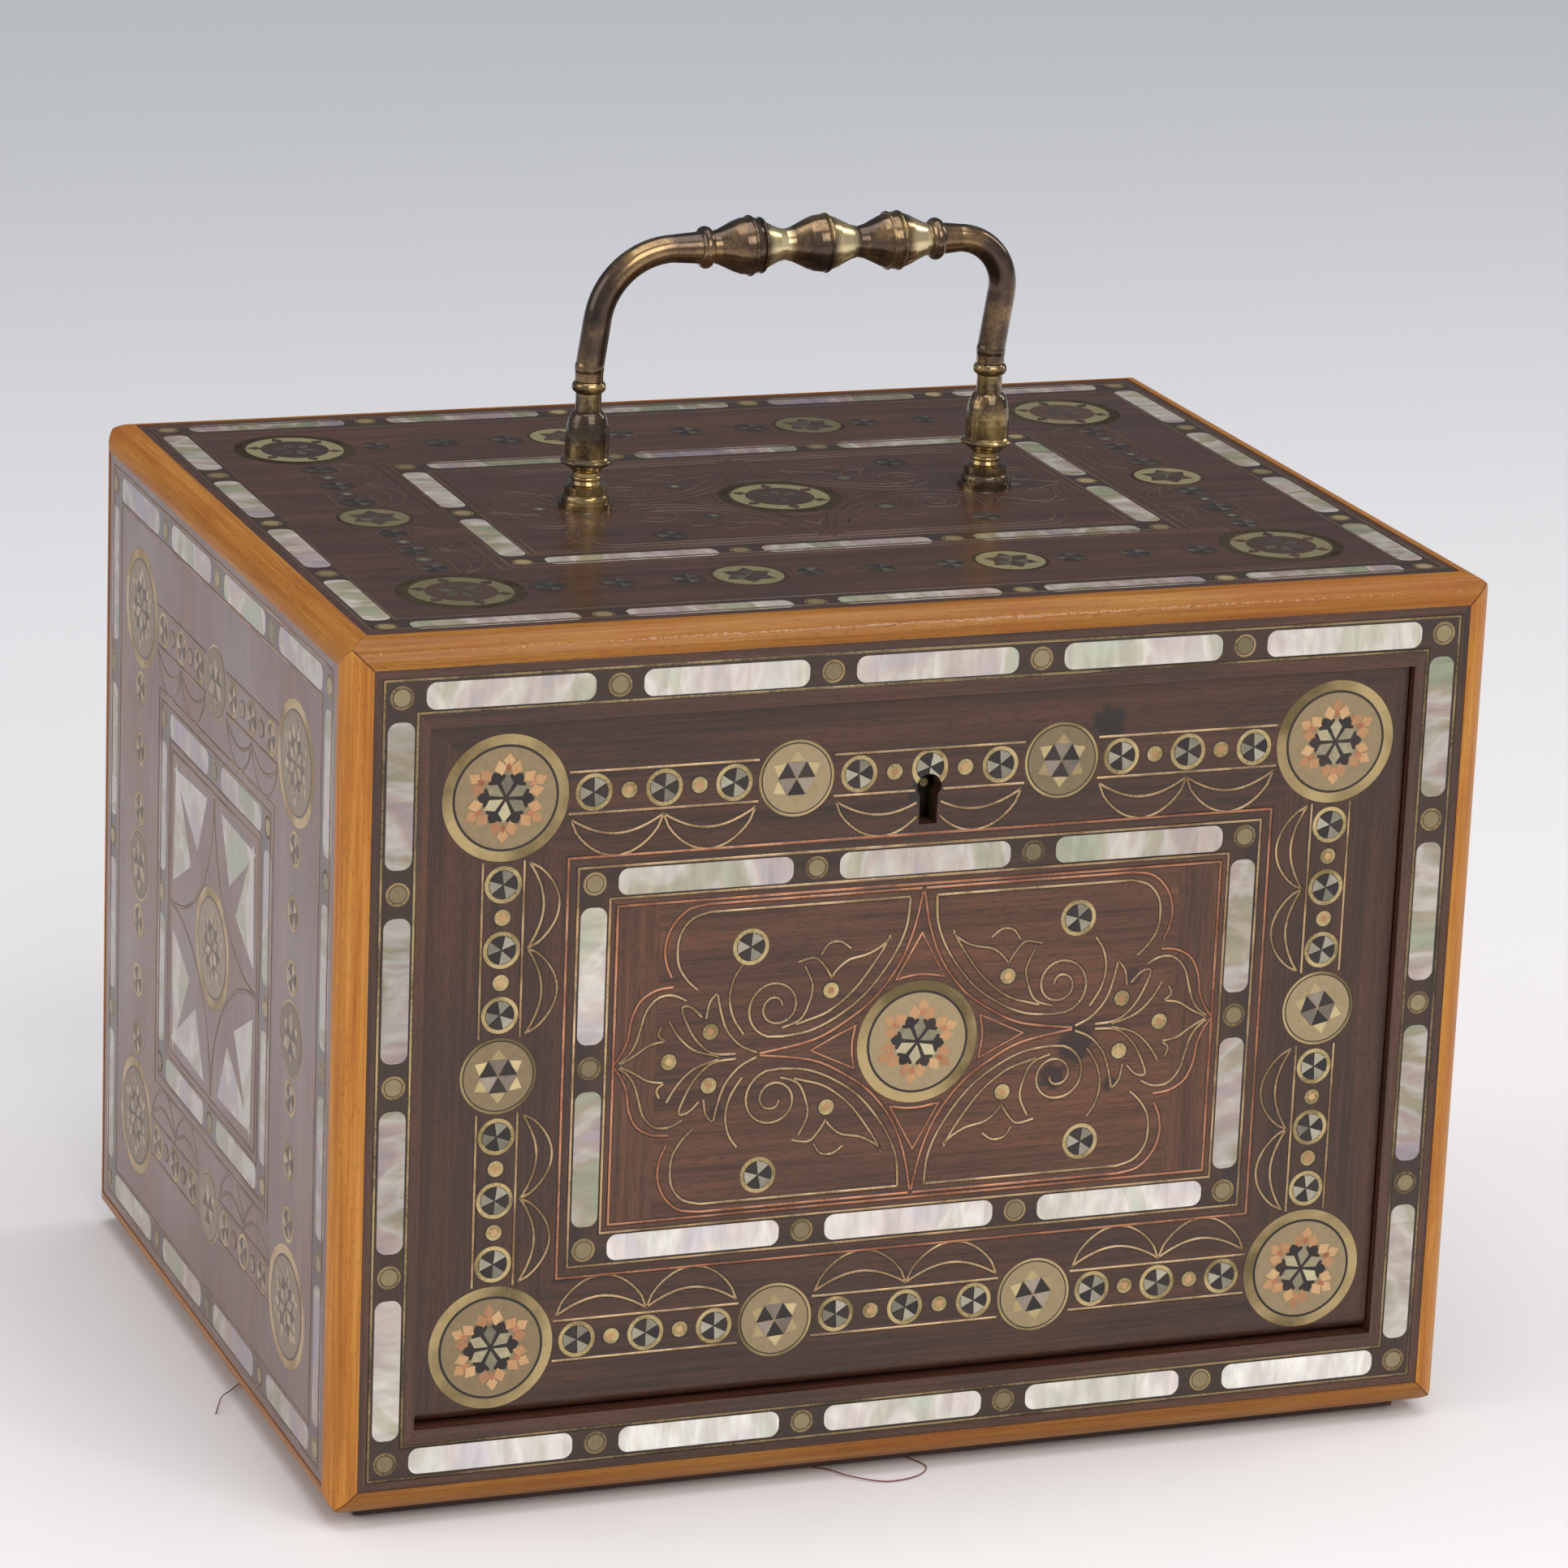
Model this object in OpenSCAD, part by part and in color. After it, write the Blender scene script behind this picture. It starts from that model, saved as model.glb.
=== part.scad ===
// Inlaid apothecary box with a fall front, a fixed brass handle and a nest of small drawers.
// X runs to the right, Y to the back and Z up. The origin lies under the middle of the base.

/* [Case] */
// Width of the case over its edge mouldings
case_w = 280; // [260:1:320]
// Depth of the case from the front frame to the back
case_d = 212; // [200:1:240]
// Height of the case without its plinth
case_h = 208; // [200:1:240]
// Wall, from the crown of the moulding to the inner face
wall_t = 13; // [12:0.5:15]
// Width and radius of the quarter-round edge mouldings
edge_r = 6.5; // [4.5:0.5:7.5]
// Thickness of the show veneer and of the inlay let into it
veneer_t = 1; // [0.8:0.1:1.4]
// How far the veneer lies below the crown of the mouldings
veneer_set = 0.2; // [0.1:0.1:0.4]

/* [Base] */
// Height of the plinth without its baize
plinth_h = 2.5; // [2:0.5:6]
// How far the plinth stands in from the mouldings
plinth_inset = 8.4; // [6:0.2:14]
// Thickness of the baize under the plinth
baize_t = 0.5; // [0.4:0.1:1]

/* [Front frame and fall] */
// Width of the two stiles over the moulding
stile_w = 19.8; // [19:0.2:23]
// Height of the two rails over the moulding
rail_h = 20.6; // [20:0.2:24]
// Thickness of the fall with its veneer
fall_t = 12; // [11:0.5:14]
// Gap all round the fall
fall_gap = 0.5; // [0.4:0.1:0.8]
// How far the fall is set back in its frame
fall_recess = 2; // [1.5:0.1:3]
// Distance of the pivot axis from the fall's front face and lower edge
pivot_set = 3; // [2.8:0.1:3.4]
// Radius of the pivot pins
pivot_r = 1.25; // [1:0.05:1.4]
// Length of a pivot pin inside the fall
pivot_in = 6; // [4:0.5:10]
// Length of a pivot pin inside its stile
pivot_out = 5; // [3:0.5:5.5]
// Running clearance round a pivot pin in its stile
pivot_play = 0.05; // [0.03:0.01:0.1]
// Gap between the closed fall and the nest that stops it
stop_gap = 0.8; // [0.8:0.1:1.4]
// How far the nest laps behind the edges of the fall
stop_lap = 4; // [3:0.5:6]

/* [Lock] */
// Width of the lock case
lock_w = 34; // [28:1:42]
// Height of the lock case
lock_h = 34; // [32:1:44]
// Depth of the lock case
lock_t = 8; // [7:0.5:9]
// Sheet thickness of the lock case and of the strike plate
lock_sheet = 1.2; // [1:0.1:1.5]
// Width of the flange on each side of the lock case
lock_flange = 4.5; // [4:0.5:7]
// Width of the lock bolt
bolt_w = 14; // [10:1:18]
// Thickness of the lock bolt
bolt_t = 3.6; // [3:0.2:4]
// Length of the lock bolt
bolt_l = 17; // [14:1:18]
// Travel of the lock bolt
bolt_travel = 5; // [4:0.5:6]
// Height of the keyhole's round head below the top edge of the fall
key_drop = 21.3; // [21:0.1:23]
// Radius of the keyhole's round head
key_r = 3; // [2.6:0.1:3.4]
// Width of the keyhole's slot
key_slot_w = 4.4; // [3.6:0.1:5]
// Length of the keyhole's slot below the centre of its head
key_slot_l = 9; // [7.6:0.1:9.4]
// Radius of the lock's key pin
key_pin_r = 1; // [0.8:0.1:1.2]

/* [Inlay] */
// Distance of the outer row of plaques from the edge of a face
border_inset = 13; // [12.4:0.1:13.2]
// Distance of the band of roundels from the edge of a face
band_inset = 38.3; // [37:0.1:40]
// Distance of the inner rectangle of plaques from the edge of a face
inner_inset = 60; // [59:0.5:62]
// Target length of one plaque and its stud
plaque_pitch = 48; // [44:1:52]
// Space between two neighbouring plaques
plaque_gap = 11.3; // [10.5:0.1:13]
// Width of the plaques
plaque_w = 6.3; // [5.6:0.1:6.6]
// Corner radius of the plaques
plaque_r = 2.4; // [1.5:0.1:2.6]
// Radius of the studs between the plaques
stud_r = 2.8; // [2.4:0.1:3]
// Radius of the large roundels
large_r = 14.9; // [13:0.1:15.4]
// Radius of the medium roundels
medium_r = 9.1; // [8:0.1:10]
// Distance between two medium roundels on a long side
medium_pitch = 65; // [60:1:70]
// Radius of the small discs of the band
disc_r = 4.4; // [3.8:0.1:4.6]
// Glue line round each piece of inlay
glue = 0.05; // [0.03:0.01:0.08]

/* [Handle] */
// Distance between the posts of the handle
post_span = 102.5; // [96:0.5:110]
// How far the handle sits to the right of the middle
handle_shift = 1.8; // [0:0.1:3]
// Radius of a post's foot
post_r = 6.5; // [5.5:0.1:7.5]
// Height of a post over the top veneer
post_h = 31; // [28:0.5:36]
// Height of the middle of the grip over the top veneer
grip_z = 62; // [56:0.5:76]
// Radius of the bent rod
rod_r = 3.4; // [3:0.1:3.8]
// Radius of the grip at its bellies
belly_r = 6.9; // [6:0.1:8]
// Length of the turned grip between its two beads
grip_l = 62; // [56:0.5:66]
// How far the grip sits to the right of the middle of the posts
grip_shift = 6; // [4:0.5:7]
// Bend radius at the left of the handle
bend_left_r = 19; // [16:0.5:20]
// Bend radius at the right of the handle
bend_right_r = 12; // [10:0.5:13]
// Lean of both legs to the right in degrees
leg_lean = 8; // [2:0.5:9]
// Radius of the studs under the posts
bolt_r = 2; // [1.6:0.1:2.4]
// Width of the handle nuts over their flats
nut_w = 7.2; // [6.6:0.1:8]
// Thickness of the handle nuts
nut_t = 3.5; // [3:0.1:4]

/* [Nest] */
// Height of the drawer fronts
drawer_h = 56; // [48:1:62]
// Thickness of the drawer fronts
drawer_front_t = 7; // [6:0.5:9]
// Distance of the drawer fronts behind the closed fall
drawer_set = 12; // [11.5:0.5:14]
// Gap round each drawer
drawer_gap = 0.3; // [0.2:0.1:0.5]
// Thickness of the drawer sides and back
drawer_wall = 3.5; // [3:0.5:4.5]
// Thickness of the drawer bottoms
drawer_floor = 3; // [2.5:0.5:4]
// How much lower the drawer sides are than the front
drawer_side_drop = 5; // [3:0.5:8]
// Thickness of the boards between the drawers
divider_t = 5; // [4:0.5:6]
// Thickness of the shelf under the drawers
shelf_t = 6; // [5:0.5:8]
// Length of a drawer knob in front of its drawer
knob_l = 10; // [8:0.5:10.5]
// Radius of a drawer knob
knob_r = 4.8; // [4:0.1:5.5]
// Length of a knob's shank in the drawer front
knob_shank = 5; // [4:0.5:5.5]
// Height of the low strips between the bottles
strip_h = 20; // [14:1:30]
// Thickness of the low strips between the bottles
strip_t = 3; // [2.5:0.5:4]

/* [Hidden] */
$fn = 48;

// Colours of the materials
rosewood = "#5c3a2e";
satinwood = "#c67f3a";
pine = "#b58a5c";
pearl = "#dcd8cf";
brass = "#b3945a";
old_brass = "#6e5836";
baize_red = "#8a2f2b";
dark_wood = "#2f221c";

// Outer and inner faces of the case
half_w = case_w / 2;
half_d = case_d / 2;
case_z0 = baize_t + plinth_h;
case_z1 = case_z0 + case_h;
mid_z = (case_z0 + case_z1) / 2;
half_h = case_h / 2;
in_w = half_w - wall_t;
in_d = half_d - wall_t;
in_z0 = case_z0 + wall_t;
in_z1 = case_z1 - wall_t;
// Half sizes of the field of each face, inside the mouldings
field_w = half_w - edge_r;
field_d = half_d - edge_r;
field_h = half_h - edge_r;
// Depth of the boards behind a face
board_set = veneer_set + veneer_t;

// Front opening and the fall in it
open_w = half_w - stile_w;
open_h = half_h - rail_h;
fall_w = open_w - fall_gap;
fall_h = open_h - fall_gap;
fall_y0 = -half_d + veneer_set + fall_recess;
fall_y1 = fall_y0 + fall_t;
fall_z0 = mid_z - fall_h;
fall_z1 = mid_z + fall_h;
pivot_y = fall_y0 + pivot_set;
pivot_z = fall_z0 + pivot_set;

// Lock
key_z = fall_z1 - key_drop;
lock_gap = 0.2;
seat_gap = 0.1;
slide_gap = 0.3;
lock_y0 = fall_y1 - lock_t;
bolt_y = fall_y1 - lock_t / 2;
bolt_z1 = fall_z1 - slide_gap;
strike_d = bolt_travel + 1.5;
strike_play = 0.6;
strike_lap = 7;
slot_w = 0.6;
screw_r = 1.1;
screw_head_r = 2;
screw_l = 5;
screw_dx = lock_w / 2 + lock_flange / 2;
screw_dz = lock_h / 2 - 3;

// Nest
nest_y0 = fall_y1 + stop_gap;
nest_w = open_w - stop_lap;
nest_z1 = mid_z + open_h - stop_lap;
floor_z = mid_z - open_h + stop_lap;
DRAWERS = 4;
drawer_z1 = nest_z1 - drawer_gap;
drawer_z0 = drawer_z1 - drawer_h;
shelf_z1 = drawer_z0 - drawer_gap;
shelf_z0 = shelf_z1 - shelf_t;
bay_w = (2 * nest_w - (DRAWERS - 1) * divider_t) / DRAWERS;
drawer_w = bay_w - 2 * drawer_gap;
drawer_y0 = fall_y1 + drawer_set;
tray_y0 = drawer_y0 + drawer_front_t;
tray_y1 = in_d - 1;
tray_h = drawer_h - drawer_side_drop;
knob_plate_r = knob_r - 0.6;
knob_plate_t = 1;
knob_neck_r = 2;
knob_shank_r = 1.5;
knob_dome = knob_l * 0.32;
// Cells for bottles in the open bay
LANES = 4;
ROWS = 3;
lane_w = (2 * nest_w - (LANES - 1) * strip_t) / LANES;
row_d = (in_d - nest_y0 - (ROWS - 1) * strip_t) / ROWS;

// Handle
top_z = case_z1 - veneer_set;
post_x = [handle_shift - post_span / 2, handle_shift + post_span / 2];
neck_r = 3.1;
foot_step = 0.7;
foot_rim = 1.6;
shoulder_r = post_r - 1.4;
shoulder_z = 4.2;
shoulder_h = 1.2;
ring_z = 7.4;
flange_r = post_r - 0.2;
flange_z = 11.5;
dome_r = post_r - 1.2;
dome_z = 12.6;
dome_h = 11;
dome_flat = 3.3;
bead_r = 1.5;
bead_z = post_h - bead_r;
leg_kink = 3;
kink_swell = 0.15;
nut_seat = nut_t + 1.2;
bend_thin = 0.05;
grip_bead_r = 1.7;
waist_r = neck_r + 0.6;
spigot_r = 2.2;
spigot_l = 6;

// Share of the free length between two roundels that separates their discs
disc_spread = 0.37;
// Clearance of the darts from the plaques round them
dart_clear = 8.5;

function drawer_x(k) = -nest_w + bay_w / 2 + (k - 1) * (bay_w + divider_t);
function count(span) = max(1, round(span / plaque_pitch));

// A box from its lowest to its highest corner
module block(lo, hi) { translate(lo) cube(hi - lo); }

// Faces: the child lies in the XY plane and rises along the face's outward normal
module on_front(y) { translate([0, y, mid_z]) rotate([90, 0, 0]) children(); }
module on_back() { translate([0, half_d - veneer_set, mid_z]) rotate([90, 0, 180]) children(); }
module on_left() { translate([-half_w + veneer_set, 0, mid_z]) rotate([90, 0, -90]) children(); }
module on_right() { translate([half_w - veneer_set, 0, mid_z]) rotate([90, 0, 90]) children(); }
module on_top() { translate([0, 0, top_z]) children(); }

// One plaque, grown by g all round
module plaque_2d(length, g) {
  l = length / 2 + g;
  w = plaque_w / 2 + g;
  r = plaque_r + g;
  square([2 * l, 2 * (w - r)], center = true);
  square([2 * (l - r), 2 * w], center = true);
  for (sx = [-1, 1], sy = [-1, 1]) translate([sx * (l - r), sy * (w - r)]) circle(r, $fn = 24);
}

// A rectangle of plaques with half sizes a and b
module plaques_2d(a, b, g) {
  nx = count(2 * a);
  ny = count(2 * b);
  px = 2 * a / nx;
  py = 2 * b / ny;
  for (i = [0:nx - 1], s = [-1, 1])
    translate([-a + (i + 0.5) * px, s * b]) plaque_2d(px - plaque_gap, g);
  for (j = [0:ny - 1], s = [-1, 1])
    translate([s * a, -b + (j + 0.5) * py]) rotate(90) plaque_2d(py - plaque_gap, g);
}

// The studs of the same rectangle
module studs_2d(a, b, g) {
  nx = count(2 * a);
  ny = count(2 * b);
  for (i = [0:nx], s = [-1, 1]) translate([-a + i * 2 * a / nx, s * b]) circle(stud_r + g, $fn = 24);
  if (ny > 1)
    for (j = [1:ny - 1], s = [-1, 1]) translate([s * a, -b + j * 2 * b / ny]) circle(stud_r + g, $fn = 24);
}

// Places of the medium roundels along a side whose roundels stand at plus and minus a
function mediums(a) =
  let (n = max(1, round(a / 50))) [for (i = [0:n - 1]) (i - (n - 1) / 2) * medium_pitch];
// Three discs between a roundel of radius r0 at x0 and one of radius r1 at x1
function discs_between(x0, r0, x1, r1) =
  let (free = x1 - x0 - r0 - r1, mid = (x0 + r0 + x1 - r1) / 2)
    [for (i = [-1:1]) mid + i * disc_spread * free];
function discs(a) =
  let (m = mediums(a), n = len(m)) concat(
    discs_between(-a, large_r, m[0], medium_r),
    discs_between(m[n - 1], medium_r, a, large_r),
    [for (i = [0:1:n - 2]) for (x = discs_between(m[i], medium_r, m[i + 1], medium_r)) x]);

// The band of roundels and discs with half sizes a and b, and the roundel in the middle
module roundels_2d(a, b, g) {
  circle(large_r + g);
  for (sx = [-1, 1], sy = [-1, 1]) translate([sx * a, sy * b]) circle(large_r + g);
  for (s = [-1, 1]) {
    for (x = mediums(a)) translate([x, s * b]) circle(medium_r + g, $fn = 36);
    for (y = mediums(b)) translate([s * a, y]) circle(medium_r + g, $fn = 36);
    for (x = discs(a)) translate([x, s * b]) circle(disc_r + g, $fn = 24);
    for (y = discs(b)) translate([s * a, y]) circle(disc_r + g, $fn = 24);
  }
}

// Two pearl darts in each quarter of a side panel's middle, between half sizes a and b
module darts_2d(a, b, g) {
  reach = min(a, b) - dart_clear;
  dart = [[reach * 0.17, reach], [reach * 1.03, reach * 0.97], [reach * 0.4, reach * 0.56]];
  shrink = 1 + g / 10;
  centre = (dart[0] + dart[1] + dart[2]) / 3;
  for (sx = [-1, 1], sy = [-1, 1]) mirror([sx < 0 ? 1 : 0, 0]) mirror([0, sy < 0 ? 1 : 0])
    for (flip = [0, 1]) mirror([flip, -flip])
      translate(centre) scale(shrink) translate(-centre) polygon(dart);
}

module border_pearl_2d(w, h, g) { plaques_2d(w - border_inset, h - border_inset, g); }
module border_studs_2d(w, h, g) { studs_2d(w - border_inset, h - border_inset, g); }
module panel_pearl_2d(w, h, g) { plaques_2d(w - inner_inset, h - inner_inset, g); }
module panel_brass_2d(w, h, g) {
  studs_2d(w - inner_inset, h - inner_inset, g);
  roundels_2d(w - band_inset, h - band_inset, g);
}
module side_pearl_2d(g) {
  border_pearl_2d(half_d, half_h, g);
  panel_pearl_2d(half_d, half_h, g);
  darts_2d(half_d - inner_inset, half_h - inner_inset, g);
}
module side_brass_2d(g) {
  border_studs_2d(half_d, half_h, g);
  panel_brass_2d(half_d, half_h, g);
}
module full_pearl_2d(w, h, g) {
  border_pearl_2d(w, h, g);
  panel_pearl_2d(w, h, g);
}
module full_brass_2d(w, h, g) {
  border_studs_2d(w, h, g);
  panel_brass_2d(w, h, g);
}

// Inlay as deep as the veneer
module let_in() { translate([0, 0, -veneer_t]) linear_extrude(veneer_t) children(); }

module keyhole_2d() {
  circle(key_r, $fn = 32);
  translate([0, -key_slot_l / 2]) square([key_slot_w, key_slot_l], center = true);
}

// Holes for the studs under the handle
module stud_holes(r) { for (x = post_x) translate([x, 0, in_z1 - 1]) cylinder(r = r, h = wall_t + 2); }

// Case boards, rebated round the inner ones and round the mouldings
module top_board() {
  color(pine) difference() {
    block([-field_w, -field_d, in_z1], [field_w, field_d, case_z1 - board_set]);
    stud_holes(bolt_r + seat_gap);
    for (x = post_x) translate([x, 0, in_z1 - 1])
      cylinder(r = nut_w / sqrt(3) + lock_gap, h = nut_seat + 1);
  }
}
module bottom_board() {
  color(pine) block([-field_w, -field_d, case_z0], [field_w, field_d, in_z0]);
}
module side_board(s) {
  mirror([s < 0 ? 0 : 1, 0, 0]) union() {
    block([-half_w + board_set, -field_d, mid_z - field_h], [-field_w, field_d, mid_z + field_h]);
    block([-field_w, -field_d, in_z0], [-in_w, field_d, in_z1]);
  }
}
module left_board() { color(pine) side_board(-1); }
module right_board() { color(pine) side_board(1); }
module back_board() {
  color(pine) union() {
    block([-field_w, field_d, mid_z - field_h], [field_w, half_d - board_set, mid_z + field_h]);
    block([-in_w, in_d, in_z0], [in_w, field_d, in_z1]);
  }
}

// Front frame: the outer layer reaches the mouldings, the inner one the boards
module frame_piece(x0, x1, z0, z1) {
  block([x0, -half_d + board_set, z0], [x1, -field_d, z1]);
  block([max(x0, -in_w), -field_d, max(z0, in_z0)], [min(x1, in_w), fall_y1, min(z1, in_z1)]);
}
module strike_mortise() {
  block([-bolt_w / 2 - strike_play, bolt_y - bolt_t / 2 - strike_play, mid_z + open_h - 1],
        [bolt_w / 2 + strike_play, bolt_y + bolt_t / 2 + strike_play, mid_z + open_h + strike_d]);
}
module strike_seat(gap) {
  past = gap > 0 ? 1 : 0;
  block([-bolt_w / 2 - strike_lap - gap, bolt_y - lock_t / 2 + strike_play - gap, mid_z + open_h - past],
        [bolt_w / 2 + strike_lap + gap, fall_y1 + past, mid_z + open_h + lock_sheet]);
}
module top_rail() {
  color(rosewood) difference() {
    frame_piece(-field_w, field_w, mid_z + open_h, mid_z + field_h);
    strike_mortise();
    strike_seat(seat_gap);
  }
}
module bottom_rail() {
  color(rosewood) frame_piece(-field_w, field_w, mid_z - field_h, mid_z - open_h);
}
module stile(s) {
  difference() {
    frame_piece(s < 0 ? -field_w : open_w, s < 0 ? -open_w : field_w, mid_z - open_h, mid_z + open_h);
    translate([s * (open_w - 1), pivot_y, pivot_z]) rotate([0, s * 90, 0])
      cylinder(r = pivot_r + pivot_play, h = pivot_out + 1.5);
  }
}
module left_stile() { color(rosewood) stile(-1); }
module right_stile() { color(rosewood) stile(1); }

// Veneers with windows for the inlay
module field_2d(w, h) { square([2 * w, 2 * h], center = true); }
module top_veneer() {
  color(rosewood) difference() {
    on_top() let_in() difference() {
      field_2d(field_w, field_d);
      full_pearl_2d(half_w, half_d, glue);
      full_brass_2d(half_w, half_d, glue);
    }
    stud_holes(bolt_r + seat_gap);
  }
}
module side_veneer() {
  let_in() difference() {
    field_2d(field_d, field_h);
    side_pearl_2d(glue);
    side_brass_2d(glue);
  }
}
module left_veneer() { color(rosewood) on_left() side_veneer(); }
module right_veneer() { color(rosewood) on_right() side_veneer(); }
module back_veneer() {
  color(rosewood) on_back() let_in() difference() {
    field_2d(field_w, field_h);
    full_pearl_2d(half_w, half_h, glue);
    full_brass_2d(half_w, half_h, glue);
  }
}
module frame_veneer() {
  color(rosewood) on_front(-half_d + veneer_set) let_in() difference() {
    field_2d(field_w, field_h);
    field_2d(open_w, open_h);
    border_pearl_2d(half_w, half_h, glue);
    border_studs_2d(half_w, half_h, glue);
  }
}

// Quarter-round moulding on one edge, mitred on its two neighbours at both ends.
// It runs along X through the origin, with the box behind it towards +Y and +Z.
module edge_moulding(half_l) {
  r = edge_r;
  end = half_l - glue;
  difference() {
    translate([-half_l, 0, 0]) rotate([90, 0, 90]) linear_extrude(2 * half_l) intersection() {
      square(r);
      translate([r, r]) circle(r, $fn = 64);
    }
    for (s = [-1, 1]) {
      translate([s * end, 0, 0]) mirror([s < 0 ? 0 : 1, 0, 0]) rotate([0, 0, 45])
        translate([-2 * r, 0, -r]) cube([4 * r, 4 * r, 3 * r]);
      translate([s * end, 0, 0]) mirror([s < 0 ? 0 : 1, 0, 0]) rotate([0, -45, 0])
        translate([-2 * r, -r, 0]) cube([4 * r, 3 * r, 4 * r]);
    }
  }
}
module front_edge_mouldings() {
  color(satinwood) translate([0, -half_d, mid_z]) for (s = [0, 180]) rotate([0, s, 0]) {
    translate([0, 0, -half_h]) edge_moulding(half_w);
    rotate([0, 90, 0]) translate([0, 0, -half_w]) edge_moulding(half_h);
  }
}
module back_edge_mouldings() {
  color(satinwood) translate([0, half_d, mid_z]) rotate([0, 0, 180]) for (s = [0, 180]) rotate([0, s, 0]) {
    translate([0, 0, -half_h]) edge_moulding(half_w);
    rotate([0, 90, 0]) translate([0, 0, -half_w]) edge_moulding(half_h);
  }
}
module side_edge_mouldings() {
  color(satinwood) for (s = [0, 180]) translate([0, 0, mid_z]) rotate([0, 0, s]) for (f = [0, 180])
    rotate([0, f, 0]) translate([-half_w, 0, -half_h]) rotate([0, 0, -90]) mirror([1, 0, 0])
      edge_moulding(half_d);
}

// Inlay of each face
module top_pearl_inlay() { color(pearl) on_top() let_in() full_pearl_2d(half_w, half_d, 0); }
module top_brass_inlay() { color(brass) on_top() let_in() full_brass_2d(half_w, half_d, 0); }
module side_pearl_inlay() {
  color(pearl) { on_left() let_in() side_pearl_2d(0); on_right() let_in() side_pearl_2d(0); }
}
module side_brass_inlay() {
  color(brass) { on_left() let_in() side_brass_2d(0); on_right() let_in() side_brass_2d(0); }
}
module back_pearl_inlay() { color(pearl) on_back() let_in() full_pearl_2d(half_w, half_h, 0); }
module back_brass_inlay() { color(brass) on_back() let_in() full_brass_2d(half_w, half_h, 0); }
module frame_pearl_inlay() {
  color(pearl) on_front(-half_d + veneer_set) let_in() border_pearl_2d(half_w, half_h, 0);
}
module frame_brass_inlay() {
  color(brass) on_front(-half_d + veneer_set) let_in() border_studs_2d(half_w, half_h, 0);
}

// Base
module plinth() {
  w = half_w - plinth_inset;
  d = half_d - plinth_inset;
  color(dark_wood) block([-w, -d, baize_t], [w, d, case_z0]);
}
module base_baize() {
  w = half_w - plinth_inset - 1;
  d = half_d - plinth_inset - 1;
  color(baize_red) block([-w, -d, 0], [w, d, baize_t]);
}

// Points of an elliptic arc about centre c
function arc(c, rx, rz, a0, a1) =
  [for (i = [0:8]) let (a = a0 + i * (a1 - a0) / 8) [c[0] + rx * cos(a), c[1] + rz * sin(a)]];

// Handle: each post is turned, with a bell foot, a flange, a dome and a bead
module post_outline() {
  polygon(concat(
    [[0, 0], [post_r, 0], [post_r, foot_rim]],
    arc([shoulder_r, foot_rim], post_r - shoulder_r - foot_step, shoulder_z - foot_rim - foot_step, 0, 90),
    [[shoulder_r, shoulder_z], [shoulder_r, shoulder_z + shoulder_h]],
    [[neck_r + foot_step, ring_z - 2 * foot_step]],
    arc([neck_r, ring_z], foot_step, foot_step, -60, 60),
    [[neck_r + foot_step / 3, ring_z + 2 * foot_step], [dome_r - foot_step, flange_z - 2 * foot_step]],
    arc([flange_r - foot_step, flange_z], foot_step, foot_step, -90, 90),
    [[dome_r, dome_z]],
    arc([neck_r, dome_z + dome_flat], dome_r - neck_r, dome_h - dome_flat, 0, 90),
    [[neck_r, bead_z - bead_r]],
    arc([neck_r - bead_r / 3, bead_z], bead_r, bead_r, -75, 75),
    [[neck_r, post_h], [0, post_h]]));
}
module handle_posts() {
  color(old_brass) for (x = post_x) translate([x, 0, top_z]) difference() {
    union() {
      rotate_extrude() post_outline();
      translate([0, 0, in_z1 + 1 - top_z]) cylinder(r = bolt_r, h = top_z - in_z1);
    }
    translate([0, 0, post_h - spigot_l - 1]) cylinder(r = spigot_r + glue, h = spigot_l + 2);
  }
}
module handle_nuts() {
  color(old_brass) for (x = post_x) translate([x, 0, in_z1 + nut_seat - nut_t]) difference() {
    cylinder(r = nut_w / sqrt(3), h = nut_t, $fn = 6);
    translate([0, 0, -1]) cylinder(r = bolt_r + glue, h = nut_t + 2);
  }
}

// A round rod between two points of the XZ plane
module rod(p, q) {
  translate([p[0], 0, p[1]]) rotate([0, atan2(q[0] - p[0], q[1] - p[1]), 0])
    cylinder(r = rod_r, h = norm(q - p));
}
// A bend in the XZ plane from angle a0 through sweep. It is a hair thinner than the rods and
// runs a degree into them at both ends.
module bend(c, r, a0, sweep) {
  translate([c[0], 0, c[1]]) rotate([90, 0, 0]) rotate([0, 0, a0 - 1]) rotate_extrude(angle = sweep + 2)
    translate([r, 0]) circle(rod_r - bend_thin);
}
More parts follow.
